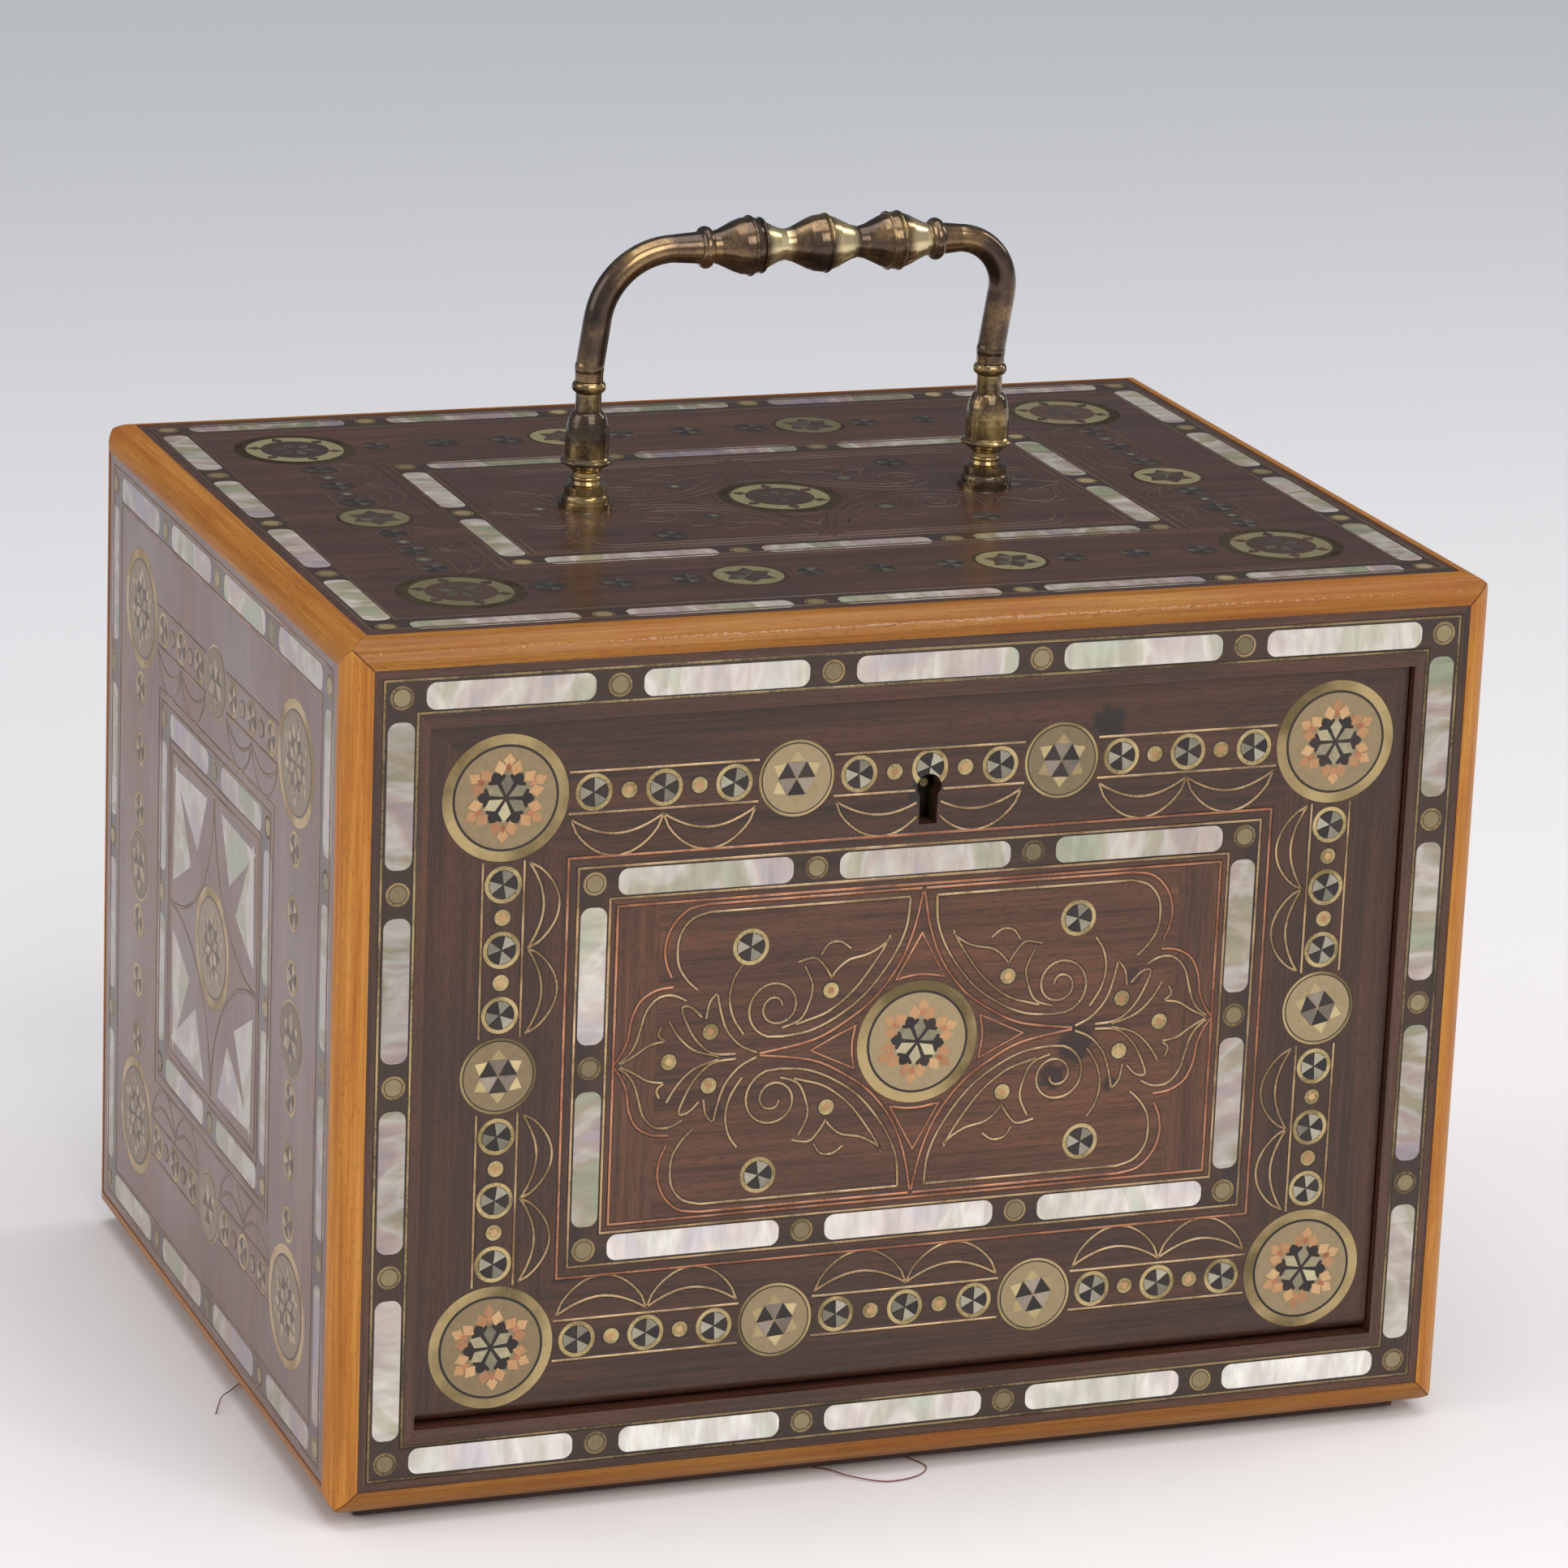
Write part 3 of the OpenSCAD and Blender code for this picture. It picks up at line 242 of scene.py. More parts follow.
def rosewood(name, along, flat, half, dark="#331c0e", mid="#56341f", light="#6f432a", rough=0.4, coat=0.12,
             spots=(), margin=1.0, band_from=None, plain=0.0):
    material, tree, shader, place = finish(name, rough, coat=coat, coat_rough=0.22)
    grain = turned(tree, place, along) if band_from is None else banded(tree, place, half, band_from, plain)
    colour = wood(tree, shader, grain, dark, mid, light, "#24140c")
    cloud = add(tree, "ShaderNodeTexNoise", {}, {"Vector": place, "Scale": 1 / 45, "Detail": 3.0}).outputs["Fac"]
    tone_shift = add(tree, "ShaderNodeMapRange", {}, {0: cloud, 1: 0.3, 2: 0.75, 3: 0.78, 4: 1.12}).outputs[0]
    colour = add(tree, "ShaderNodeMix", {"data_type": "RGBA", "blend_type": "MULTIPLY"},
                 {0: 1.0, 6: colour, 7: tone_shift}).outputs[2]
    if margin < 1.0:
        x, z = from_middle(tree, place)
        over = add(tree, "ShaderNodeMath", {"operation": "MAXIMUM"}, {
            0: add(tree, "ShaderNodeMath", {"operation": "SUBTRACT"}, {0: x, 1: half[0] - PANEL_IN}).outputs[0],
            1: add(tree, "ShaderNodeMath", {"operation": "SUBTRACT"}, {0: z, 1: half[1] - PANEL_IN}).outputs[0]}).outputs[0]
        dull = add(tree, "ShaderNodeMapRange", {}, {0: over, 1: -1.0, 2: 1.0, 3: 1.0, 4: margin}).outputs[0]
        colour = add(tree, "ShaderNodeMix", {"data_type": "RGBA", "blend_type": "MULTIPLY"},
                     {0: 1.0, 6: colour, 7: dull}).outputs[2]
    strip = between_lines(tree, place, flat, half)
    amount = add(tree, "ShaderNodeMath", {"operation": "MULTIPLY"}, {0: strip, 1: 0.62}).outputs[0]
    colour = add(tree, "ShaderNodeMix", {"data_type": "RGBA"}, {0: amount, 6: colour, 7: tone("#21160f")}).outputs[2]
    if spots:
        colour = dark_spots(tree, place, colour, spots)
    tree.links.new(colour, shader.inputs["Base Color"])
    haze = add(tree, "ShaderNodeMapRange", {}, {0: cloud, 1: 0.35, 2: 0.7, 3: rough - 0.06, 4: rough + 0.12}).outputs[0]
    tree.links.new(haze, shader.inputs["Roughness"])
    return material


# On the fall, the two spots at the keyhole, at heights 60.5 and 62.5, are painted shade that makes the hole look wider;
# the others darken the veneer in patches.
ROSEWOOD = {
    "fall_veneer": rosewood("rosewood_fall", "x", "xz", (HALF_W, HALF_H), margin=0.56, band_from=64.0, plain=10.5, coat=0.08, spots=(
        (44.0, 74.0, 4.5, 0.85), (40.0, -4.0, 5.0, 0.8), (34.5, -11.5, 3.6, 0.8), (-2.0, 60.5, 3.2, 1.0), (0.6, 62.5, 2.6, 1.0),
        (53.5, 11.8, 2.4, 0.7), (49.0, -14.5, 2.0, 0.8), (-49.0, -13.0, 2.2, 0.8), (-102.0, -29.0, 5.0, 0.6))),
    "frame_veneer": rosewood("rosewood_frame", "x", "xz", (HALF_W, HALF_H), margin=0.7, band_from=HALF_W - 19.8),
    # The top's veneer is a darker copy of the rosewood, a painted shade, and the veneer of the sides is a lighter copy,
    # a painted sheen.
    "top_veneer": rosewood("rosewood_top_painted_shade", "x", "xy", (HALF_W, HALF_D), "#2b1b14", "#44291d", "#583626", rough=0.3, coat=0.25),
    "left_veneer": rosewood("rosewood_side_painted_sheen", "z", "yz", (HALF_D, HALF_H), "#452218", "#5f3626", "#764632", rough=0.34, coat=0.45),
    "back_veneer": rosewood("rosewood_back", "x", "xz", (HALF_W, HALF_H)),
}
ROSEWOOD["right_veneer"] = ROSEWOOD["left_veneer"]
print(len(ROSEWOOD), "veneers")

# %% [markdown]
# The quarter-round mouldings are satinwood, a close-grained yellow wood that polish has turned orange. Each run has its
# grain along its length and meets its neighbour in a mitre, so the grain must turn at the corner. The shader decides by
# comparing the distance to the two edges, which is exactly where the joiner's saw cut lies, and it draws the joint as a
# fine dark line. The rails are painted darker than the posts, a painted shade and light for how the lamps fall on them,
# and the thick varnish has a ripple that breaks a highlight into dashes.
# %% Satinwood
def satinwood(name, corner):
    material, tree, shader, place = finish(name, 0.45, coat=0.16, coat_rough=0.08)
    shader.inputs["Specular IOR Level"].default_value = 0.15
    grain = turned(tree, place, "y" if corner is None else "x")
    seam, post = None, 0.35
    if corner is not None:
        x, y, z = add(tree, "ShaderNodeSeparateXYZ", inputs={0: place}).outputs
        z = add(tree, "ShaderNodeMath", {"operation": "SUBTRACT"}, {0: z, 1: MID_Z}).outputs[0]
        gaps = []
        for value, limit in ((x, corner[0]), (z, corner[1])):
            size = add(tree, "ShaderNodeMath", {"operation": "ABSOLUTE"}, {0: value}).outputs[0]
            gaps.append(add(tree, "ShaderNodeMath", {"operation": "SUBTRACT"}, {0: limit, 1: size}).outputs[0])
        apart = add(tree, "ShaderNodeMath", {"operation": "SUBTRACT"}, {0: gaps[1], 1: gaps[0]}).outputs[0]
        post = add(tree, "ShaderNodeMath", {"operation": "GREATER_THAN"}, {0: apart, 1: 0.0}).outputs[0]
        grain = add(tree, "ShaderNodeMix", {"data_type": "VECTOR"},
                    {0: post, 4: grain, 5: turned(tree, place, "z")}).outputs[1]
        near = add(tree, "ShaderNodeMath", {"operation": "ABSOLUTE"}, {0: apart}).outputs[0]
        seam = add(tree, "ShaderNodeMapRange", {}, {0: near, 1: 0.1, 2: 0.3, 3: 0.8, 4: 0.0}).outputs[0]
    colour = wood(tree, shader, grain, "#80491a", "#996327", "#ab7a38", "#6f3f14", figure_mm=(70, 3.5),
                  streak_mm=(40, 0.7), pore_mm=(2.5, 0.3), pore_share=0.3, bump_mm=0.02)
    # Rails painted darker and posts lighter: painted shade and painted light.
    rail_and_post_painted_light = add(tree, "ShaderNodeMapRange", {}, {0: post, 3: 0.84, 4: 1.3}).outputs[0]
    colour = add(tree, "ShaderNodeMix", {"data_type": "RGBA", "blend_type": "MULTIPLY"},
                 {0: 1.0, 6: colour, 7: rail_and_post_painted_light}).outputs[2]
    ripple = add(tree, "ShaderNodeTexNoise", {}, {"Vector": place, "Scale": 1 / 1.8, "Detail": 2.0}).outputs["Fac"]
    varnish = add(tree, "ShaderNodeBump", {}, {"Strength": 0.6, "Distance": 0.16 * MM, "Height": ripple})
    tree.links.new(varnish.outputs[0], shader.inputs["Coat Normal"])
    cloud = add(tree, "ShaderNodeTexNoise", {}, {"Vector": place, "Scale": 1 / 30, "Detail": 4.0}).outputs["Fac"]
    grime = add(tree, "ShaderNodeMapRange", {}, {0: cloud, 1: 0.52, 2: 0.72, 3: 0.0, 4: 0.45}).outputs[0]
    colour = add(tree, "ShaderNodeMix", {"data_type": "RGBA"}, {0: grime, 6: colour, 7: tone("#8f4c1d")}).outputs[2]
    if seam is not None:
        colour = add(tree, "ShaderNodeMix", {"data_type": "RGBA"}, {0: seam, 6: colour, 7: tone("#3a1d0c")}).outputs[2]
    tree.links.new(colour, shader.inputs["Base Color"])
    return material


SATINWOOD = {
    "front_edge_mouldings": satinwood("satinwood_front", (HALF_W, HALF_H)),
    "back_edge_mouldings": satinwood("satinwood_back", (HALF_W, HALF_H)),
    "side_edge_mouldings": satinwood("satinwood_side", None),
}

# %% [markdown]
# Behind the show wood the case is plain pine. Rails, stiles, the core of the fall, the shelf, the dividers and
# the drawer fronts are solid rosewood, only waxed, and the thin plinth is a stained dark wood. All use the same
# three layers as the veneer, with softer colours and little shine, so the eye reads them as working wood.
# %% Plain woods
def plain_wood(name, along, dark, mid, light, pore, rough):
    material, tree, shader, place = finish(name, rough)
    wood(tree, shader, turned(tree, place, along), dark, mid, light, pore, figure_mm=(140, 9), streak_mm=(80, 1.4))
    return material


PINE = {a: plain_wood("pine_" + a, a, "#a5804f", "#bf9a66", "#d0ae7c", "#8a6639", 0.62) for a in "xyz"}
SOLID_ROSEWOOD = {a: plain_wood("solid_rosewood_" + a, a, "#341c15", "#482a20", "#5e3a2b", "#1a0e0a", 0.42) for a in "xyz"}
DARK_WOOD = plain_wood("stained_dark_wood", "x", "#2b1912", "#40271b", "#573626", "#170d09", 0.5)

# %% [markdown]
# Mother-of-pearl is the lining of a shell: a milky white with soft clouds of pink, green and cream, and bright bands
# where the layers lie at an angle. Each plaque is cut from another spot, so every plaque carries its own number, and
# that number moves the pattern and shifts the tint. A shell also shows colours of thin layers in its gloss, which this
# shader leaves out.
# %% Mother-of-pearl
def pearl_finish():
    material, tree, shader, place = finish("mother_of_pearl", 0.28, coat=0.35, coat_rough=0.12)
    shell = add(tree, "ShaderNodeAttribute", {"attribute_name": "shell"}).outputs["Fac"]
    flat = add(tree, "ShaderNodeUVMap", {"uv_map": "along"}).outputs[0]  # X in millimetres along the plaque
    moved = add(tree, "ShaderNodeCombineXYZ", inputs={2: add(tree, "ShaderNodeMath", {"operation": "MULTIPLY"},
                                                              {0: shell, 1: 40.0}).outputs[0]}).outputs[0]
    spot = add(tree, "ShaderNodeVectorMath", {"operation": "ADD"}, {0: flat, 1: moved}).outputs[0]
    wide = add(tree, "ShaderNodeVectorMath", {"operation": "MULTIPLY"}, {0: spot, 1: (1 / 15, 1 / 26, 1.0)}).outputs[0]
    thin = add(tree, "ShaderNodeVectorMath", {"operation": "MULTIPLY"}, {0: spot, 1: (1 / 3.4, 1 / 16, 1.0)}).outputs[0]
    cloud = add(tree, "ShaderNodeTexNoise", {}, {"Vector": wide, "Scale": 1.0, "Detail": 3.0, "Distortion": 0.7})
    band = add(tree, "ShaderNodeTexNoise", {}, {"Vector": thin, "Scale": 1.0, "Detail": 3.0, "Distortion": 0.5})
    tint = add(tree, "ShaderNodeValToRGB", {}, {0: cloud.outputs["Fac"]},
               [(0.34, "#8da67f"), (0.66, "#a99ab4"), (0.42, "#a3966f"), (0.5, "#dedcd6"), (0.58, "#c2a5a0")]).outputs[0]
    # The plaque's number sets its brightness; its range for each face and row is painted light and shade.
    tone_and_painted_light = add(tree, "ShaderNodeValToRGB", {}, {0: shell},
              [(0.0, "#4f463e"), (1.0, "#ecece8"), (0.35, "#857c70"), (0.7, "#b9b4a9")]).outputs[0]
    base = add(tree, "ShaderNodeMix", {"data_type": "RGBA"}, {0: 0.64, 6: tint, 7: tone_and_painted_light}).outputs[2]
    streak = add(tree, "ShaderNodeMapRange", {}, {0: band.outputs["Fac"], 1: 0.36, 2: 0.66, 3: 0.84, 4: 1.1}).outputs[0]
    colour = add(tree, "ShaderNodeMix", {"data_type": "RGBA", "blend_type": "MULTIPLY"},
                 {0: 1.0, 6: base, 7: streak}).outputs[2]
    tree.links.new(colour, shader.inputs["Base Color"])
    gloss = add(tree, "ShaderNodeMapRange", {}, {0: band.outputs["Fac"], 1: 0.4, 2: 0.65, 3: 0.2, 4: 0.42}).outputs[0]
    tree.links.new(gloss, shader.inputs["Roughness"])
    bump = add(tree, "ShaderNodeBump", {}, {"Strength": 0.25, "Distance": 0.06 * MM, "Height": band.outputs["Fac"]})
    tree.links.new(bump.outputs[0], shader.inputs["Normal"])
    return material


PEARL = pearl_finish()

# %% [markdown]
# Metals. The inlaid brass is thin sheet and square wire, polished flush and then dulled by a century of air, so it is a
# soft yellow with olive patches. Copper string is redder. The handle was cast and lacquered: brown in its hollows, with
# gold bands beside its bellies that are a painted highlight. A metal keeps the default IOR.
# %% Metals
def inlay_metal(name, clean, dull, patch_mm, rough=0.42, metal=0.85, grit=0.3):
    material, tree, shader, place = finish(name, rough, metal=metal)
    cloud = add(tree, "ShaderNodeTexNoise", {}, {"Vector": place, "Scale": 1 / patch_mm, "Detail": 4.0}).outputs["Fac"]
    fine = add(tree, "ShaderNodeTexNoise", {}, {"Vector": place, "Scale": 1 / 0.6, "Detail": 2.0}).outputs["Fac"]
    mixed = add(tree, "ShaderNodeMix", {"data_type": "FLOAT"}, {0: grit, 2: cloud, 3: fine}).outputs[0]
    colour = add(tree, "ShaderNodeValToRGB", {}, {0: mixed}, [(0.4, dull), (0.58, clean)]).outputs[0]
    tree.links.new(colour, shader.inputs["Base Color"])
    gloss = add(tree, "ShaderNodeMapRange", {}, {0: mixed, 1: 0.4, 2: 0.6, 3: rough + 0.15, 4: rough - 0.06}).outputs[0]
    tree.links.new(gloss, shader.inputs["Roughness"])
    bump = add(tree, "ShaderNodeBump", {}, {"Strength": 0.2, "Distance": 0.03 * MM, "Height": fine})
    tree.links.new(bump.outputs[0], shader.inputs["Normal"])
    return material


BRASS = inlay_metal("inlay_brass_sheet", "#b29d70", "#6e6040", 26, metal=0.7, grit=0.08)
# BRASS_TOP, STRING_TOP and COPPER_TOP are darker copies, a painted shade; BRASS_SIDE and STRING_SIDE are greyer copies,
# a painted sheen.
BRASS_TOP = inlay_metal("inlay_brass_painted_shade", "#5c5139", "#352b20", 12, rough=0.5)
BRASS_SIDE = inlay_metal("inlay_brass_painted_sheen", "#b59f7e", "#8f7c62", 12, rough=0.55, metal=0.4, grit=0.1)
RING_BRASS = inlay_metal("small_ring_brass", "#bda878", "#85744c", 8, metal=0.6)
STRING_BRASS = inlay_metal("brass_string", "#bfa078", "#84694a", 9, metal=0.6)
STRING_BORDER = inlay_metal("brass_string_dull", "#9c8660", "#5a4a34", 16, metal=0.7)
STRING_TOP = inlay_metal("brass_string_painted_shade", "#5a483a", "#453429", 14, rough=0.5, metal=0.3)
STRING_SIDE = inlay_metal("brass_string_painted_sheen", "#94806f", "#7c695c", 14, rough=0.6, metal=0.1)
COPPER = inlay_metal("copper_string", "#bd8362", "#8a5840", 9, metal=0.6)
COPPER_TOP = inlay_metal("copper_string_painted_shade", "#583e31", "#432e25", 14, rough=0.5, metal=0.3)
LOCK_BRASS = inlay_metal("tarnished_lock_brass", "#74664a", "#4d422e", 14, rough=0.5)

# %% [markdown]
# The small pieces of the mosaics: bone stained khaki for the discs, ebony, cream bone and a peach-coloured
# bone for the star points. Every tile has its own number too, so no two are quite the same shade.
# %% Bone, ebony and mastic
def tile_finish(name, darkest, middle, lightest, rough, coat=0.2):
    material, tree, shader, place = finish(name, rough, coat=coat)
    shade = add(tree, "ShaderNodeAttribute", {"attribute_name": "shade"}).outputs["Fac"]
    grit = add(tree, "ShaderNodeTexNoise", {}, {"Vector": place, "Scale": 1 / 1.5, "Detail": 4.0}).outputs["Fac"]
    mixed = add(tree, "ShaderNodeMix", {"data_type": "FLOAT"}, {0: 0.35, 2: shade, 3: grit}).outputs[0]
    colour = add(tree, "ShaderNodeValToRGB", {}, {0: mixed}, [(0.15, darkest), (0.85, lightest), (0.5, middle)]).outputs[0]
    tree.links.new(colour, shader.inputs["Base Color"])
    bump = add(tree, "ShaderNodeBump", {}, {"Strength": 0.2, "Distance": 0.03 * MM, "Height": grit})
    tree.links.new(bump.outputs[0], shader.inputs["Normal"])
    return material


KHAKI = tile_finish("khaki_bone", "#66583c", "#826f4d", "#978562", 0.42)
CREAM = tile_finish("cream_bone", "#5f5a47", "#8f8669", "#bdb38d", 0.36)
GREY = tile_finish("grey_bone", "#625e50", "#878271", "#aaa491", 0.36)
MAUVE = tile_finish("mauve_bone", "#5b5046", "#7b6f63", "#9a8d7d", 0.38)
PALE = tile_finish("pale_bone", "#8b7850", "#a89468", "#c6b283", 0.4)
PEACH = tile_finish("peach_bone", "#996a45", "#b38557", "#c49f70", 0.4)
RUST = tile_finish("rust_bone", "#8a4c2e", "#a3623e", "#b57a54", 0.4)
EBONY = tile_finish("ebony", "#15100e", "#201815", "#2e241e", 0.5, coat=0.0)
STUD_BONE = tile_finish("olive_bone", "#62563a", "#7b6c4a", "#90805b", 0.42)
# The copies below are painted light: the grey, bone and ebony for the top are darker, a painted shade; the bone, pale
# bone and ebony for the sides and back are greyer, a painted sheen; and the two mastics are lightened to the tone of
# the top and of the sides, a painted light.
GREY_PAINTED_SHADE = tile_finish("painted_shade_grey", "#2e2b26", "#3d3a33", "#4d4940", 0.45)
BONE_PAINTED_SHADE = tile_finish("painted_shade_bone", "#514b33", "#696244", "#807856", 0.42)
BONE_PAINTED_SHEEN = tile_finish("painted_sheen_bone", "#665745", "#776653", "#877560", 0.5)
PALE_PAINTED_SHEEN = tile_finish("painted_sheen_pale_bone", "#7b6c58", "#8f7f69", "#a3927a", 0.5)
EBONY_PAINTED_SHEEN = tile_finish("painted_sheen_ebony", "#463930", "#52443a", "#5f5045", 0.5)
EBONY_PAINTED_SHADE = tile_finish("painted_shade_ebony", "#2a1b14", "#38251b", "#452f23", 0.5)
TOP_FILLER = tile_finish("painted_light_top_mastic", "#3d2b22", "#493529", "#554033", 0.4)
SIDE_FILLER = tile_finish("painted_sheen_mastic", "#55403a", "#614a41", "#6d554a", 0.4)
MASTIC = tile_finish("dark_mastic", "#120c0a", "#1c1411", "#2a1f1a", 0.55)

# %% [markdown]
# Most of the inlay is the same few shapes again and again, which is what Geometry Nodes are for. A tree is
# built once, gets its sizes through named inputs, and is run on a small mesh that only says where. The result is
# taken as a plain mesh, because an exported model can't hold instances.
# %% Build and run a tree
def new_tree(name, inputs):
    tree = bpy.data.node_groups.new(name, "GeometryNodeTree")
    tree.interface.new_socket("Geometry", in_out="INPUT", socket_type="NodeSocketGeometry")
    for label, kind, value in inputs:
        socket = tree.interface.new_socket(label, in_out="INPUT", socket_type="NodeSocket" + kind)
        if value is not None:
            socket.default_value = value
    tree.interface.new_socket("Geometry", in_out="OUTPUT", socket_type="NodeSocketGeometry")
    return tree, add(tree, "NodeGroupInput").outputs


def run_tree(tree, base, values):
    holder = bpy.data.objects.new("holder", base)
    bpy.context.scene.collection.objects.link(holder)
    modifier = holder.modifiers.new("tree", "NODES")
    modifier.node_group = tree
    for socket in tree.interface.items_tree:
        if socket.in_out == "INPUT" and socket.name in values:
            modifier[socket.identifier] = values[socket.name]
    ready = holder.evaluated_get(bpy.context.evaluated_depsgraph_get())
    mesh = bpy.data.meshes.new_from_object(ready)
    holder.modifiers.clear()
    bpy.data.objects.remove(holder)
    return mesh


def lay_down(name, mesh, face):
    """Turns a flat drawing in millimetres into a piece on a face of the box."""
    mesh.transform(BOARDS[face]["place"] @ Matrix.Scale(MM, 4))
    shape = bmesh.new()
    shape.from_mesh(mesh)
    bmesh.ops.recalc_face_normals(shape, faces=shape.faces)
    shape.to_mesh(mesh)
    shape.free()
    piece = bpy.data.objects.new(name, mesh)
    bpy.context.scene.collection.objects.link(piece)
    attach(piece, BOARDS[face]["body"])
    return piece


# %% [markdown]
# String is square brass or copper wire, hammered into a groove that was filled with dark mastic, so every
# line has a thin dark edge. The tree turns drawn lines into curves, and sweeps a flat bar along them for the
# wire and a wider, lower one for the groove. At a corner a swept bar gets thinner, so each point carries the
# factor that keeps a mitred corner full width.
# %% The string tree
def string_tree():
    tree, given = new_tree("String", [("Width", "Float", 0.7), ("Groove", "Float", 1.3), ("Proud", "Float", 0.05),
                                      ("Sunk", "Float", 0.3), ("Wire", "Material", None), ("Filler", "Material", None)])
    curve = add(tree, "GeometryNodeMeshToCurve", {}, {0: given["Geometry"]}).outputs[0]
    curve = add(tree, "GeometryNodeSetCurveNormal", {"mode": "Z_UP"}, {0: curve}).outputs[0]
    mitre = add(tree, "GeometryNodeInputNamedAttribute", {"data_type": "FLOAT"}, {"Name": "mitre"}).outputs[0]
    bars = []
    for width, lift, part in ((given["Width"], 1.0, 1), (given["Groove"], 0.4, 2)):
        side = add(tree, "ShaderNodeMath", {"operation": "MULTIPLY"}, {0: width, 1: 0.5}).outputs[0]
        other = add(tree, "ShaderNodeMath", {"operation": "MULTIPLY"}, {0: side, 1: -1.0}).outputs[0]
        top = add(tree, "ShaderNodeMath", {"operation": "MULTIPLY"}, {0: given["Proud"], 1: -lift}).outputs[0]
        bottom = given["Sunk"]
        points = [add(tree, "ShaderNodeCombineXYZ", inputs={0: u, 1: v}).outputs[0]
                  for u, v in ((other, bottom), (side, bottom), (side, top), (other, top))]
        bar = add(tree, "GeometryNodeCurvePrimitiveQuadrilateral", {"mode": "POINTS"},
                  {"Point %d" % (i + 1): p for i, p in enumerate(points)}).outputs[0]
        swept = add(tree, "GeometryNodeCurveToMesh", {}, {0: curve, 1: bar, "Scale": mitre, "Fill Caps": True}).outputs[0]
        bars.append(add(tree, "GeometryNodeStoreNamedAttribute", {"data_type": "INT", "domain": "FACE"},
                        {0: swept, "Name": "part", 3: part}).outputs[0])
    both = add(tree, "GeometryNodeJoinGeometry")
    for bar in bars:
        tree.links.new(bar, both.inputs[0])
    result = add(tree, "GeometryNodeRealizeInstances", {}, {0: both.outputs[0]}).outputs[0]
    part = add(tree, "GeometryNodeInputNamedAttribute", {"data_type": "INT"}, {"Name": "part"}).outputs[0]
    for number, material in ((1, given["Wire"]), (2, given["Filler"])):
        mine = add(tree, "FunctionNodeCompare", {"data_type": "INT", "operation": "EQUAL"}, {2: part, 3: number}).outputs[0]
        result = add(tree, "GeometryNodeSetMaterial", {}, {0: result, 1: mine, 2: material}).outputs[0]
    add(tree, "NodeGroupOutput", {}, {0: result})
    return tree


STRING = string_tree()

# %% [markdown]
# The lines themselves. A ruled line is a handful of points. A free line, such as a leaf or a scroll, is a
# few points read off the photograph, and a smooth curve through them. The curve is the one that passes every point
# with a slope taken from its neighbours, since bending wood or wire by hand gives the same easy shape.
# %% Drawing lines
def through(points, step=0.8):
    """A smooth line through points: each stretch is a cubic whose end slopes come from the neighbours."""
    line = []
    for i in range(len(points) - 1):
        before, a, b, after = (points[max(0, min(len(points) - 1, j))] for j in (i - 1, i, i + 1, i + 2))
        count = max(2, round(math.dist(a, b) / step))
        for n in range(count):
            t = n / count
            line.append(tuple(0.5 * (2 * q + (r - p) * t + (2 * p - 5 * q + 4 * r - s) * t * t
                                     + (3 * q - p - 3 * r + s) * t ** 3)
                              for p, q, r, s in zip(before, a, b, after)))
    return line + [tuple(points[-1])]


def rectangle(w, h):
    return [(w, -h), (w, h), (-w, h), (-w, -h)]


def mirrored(lines, flips=((1, 1), (-1, 1), (1, -1), (-1, -1))):
    return [[(x * fx, y * fy) for x, y in line] for line in lines for fx, fy in flips]


def wire_mesh(open_lines, closed_lines):
    """Lines as a mesh of edges, each point with the factor that keeps a mitre full width."""
    spots, edges, factors = [], [], []
    for line, closed in [(l, False) for l in open_lines] + [(l, True) for l in closed_lines]:
        first, count = len(spots), len(line)
        for i, spot in enumerate(line):
            spots.append((spot[0], spot[1], 0.0))
            before, after = line[i - 1], line[(i + 1) % count]
            factor = 1.0
            if closed or 0 < i < count - 1:
                a = Vector((spot[0] - before[0], spot[1] - before[1])).normalized()
                b = Vector((after[0] - spot[0], after[1] - spot[1])).normalized()
                factor = min(1.6, 1 / max(0.5, math.sqrt(max(0.0, (1 + a.dot(b)) / 2))))
            factors.append(factor)
        edges += [(first + i, first + i + 1) for i in range(count - 1)]
        if closed:
            edges.append((first + count - 1, first))
    mesh = bpy.data.meshes.new("lines")
    mesh.from_pydata(spots, edges, [])
    mesh.attributes.new("mitre", "FLOAT", "POINT").data.foreach_set("value", factors)
    return mesh


def outside_keyhole(lines, play=0.5):
    """Cuts lines where they would cross the keyhole of the fall, and keeps the stretches outside it."""
    kept = []
    for line in lines:
        run = []
        for a, b in zip(line, line[1:]):
            n = max(1, round(math.dist(a, b) / 0.5))
            run += [(a[0] + (b[0] - a[0]) * i / n, a[1] + (b[1] - a[1]) * i / n) for i in range(n)]
        run.append(line[-1])
        if not any(abs(x) < 12 and y > 45 for x, y in run):
            kept.append(line)
            continue
        part = []
        for x, y in run + [(0.0, KEY_Y)]:
            inside = math.hypot(x, y - KEY_Y) < KEY_R + play or (abs(x) < KEY_SLOT / 2 + play
                                                                and KEY_Y - KEY_LONG - play < y < KEY_Y)
            if not inside:
                part.append((x, y))
            elif len(part) > 1:
                kept.append(part)
                part = []
            else:
                part = []
    return kept


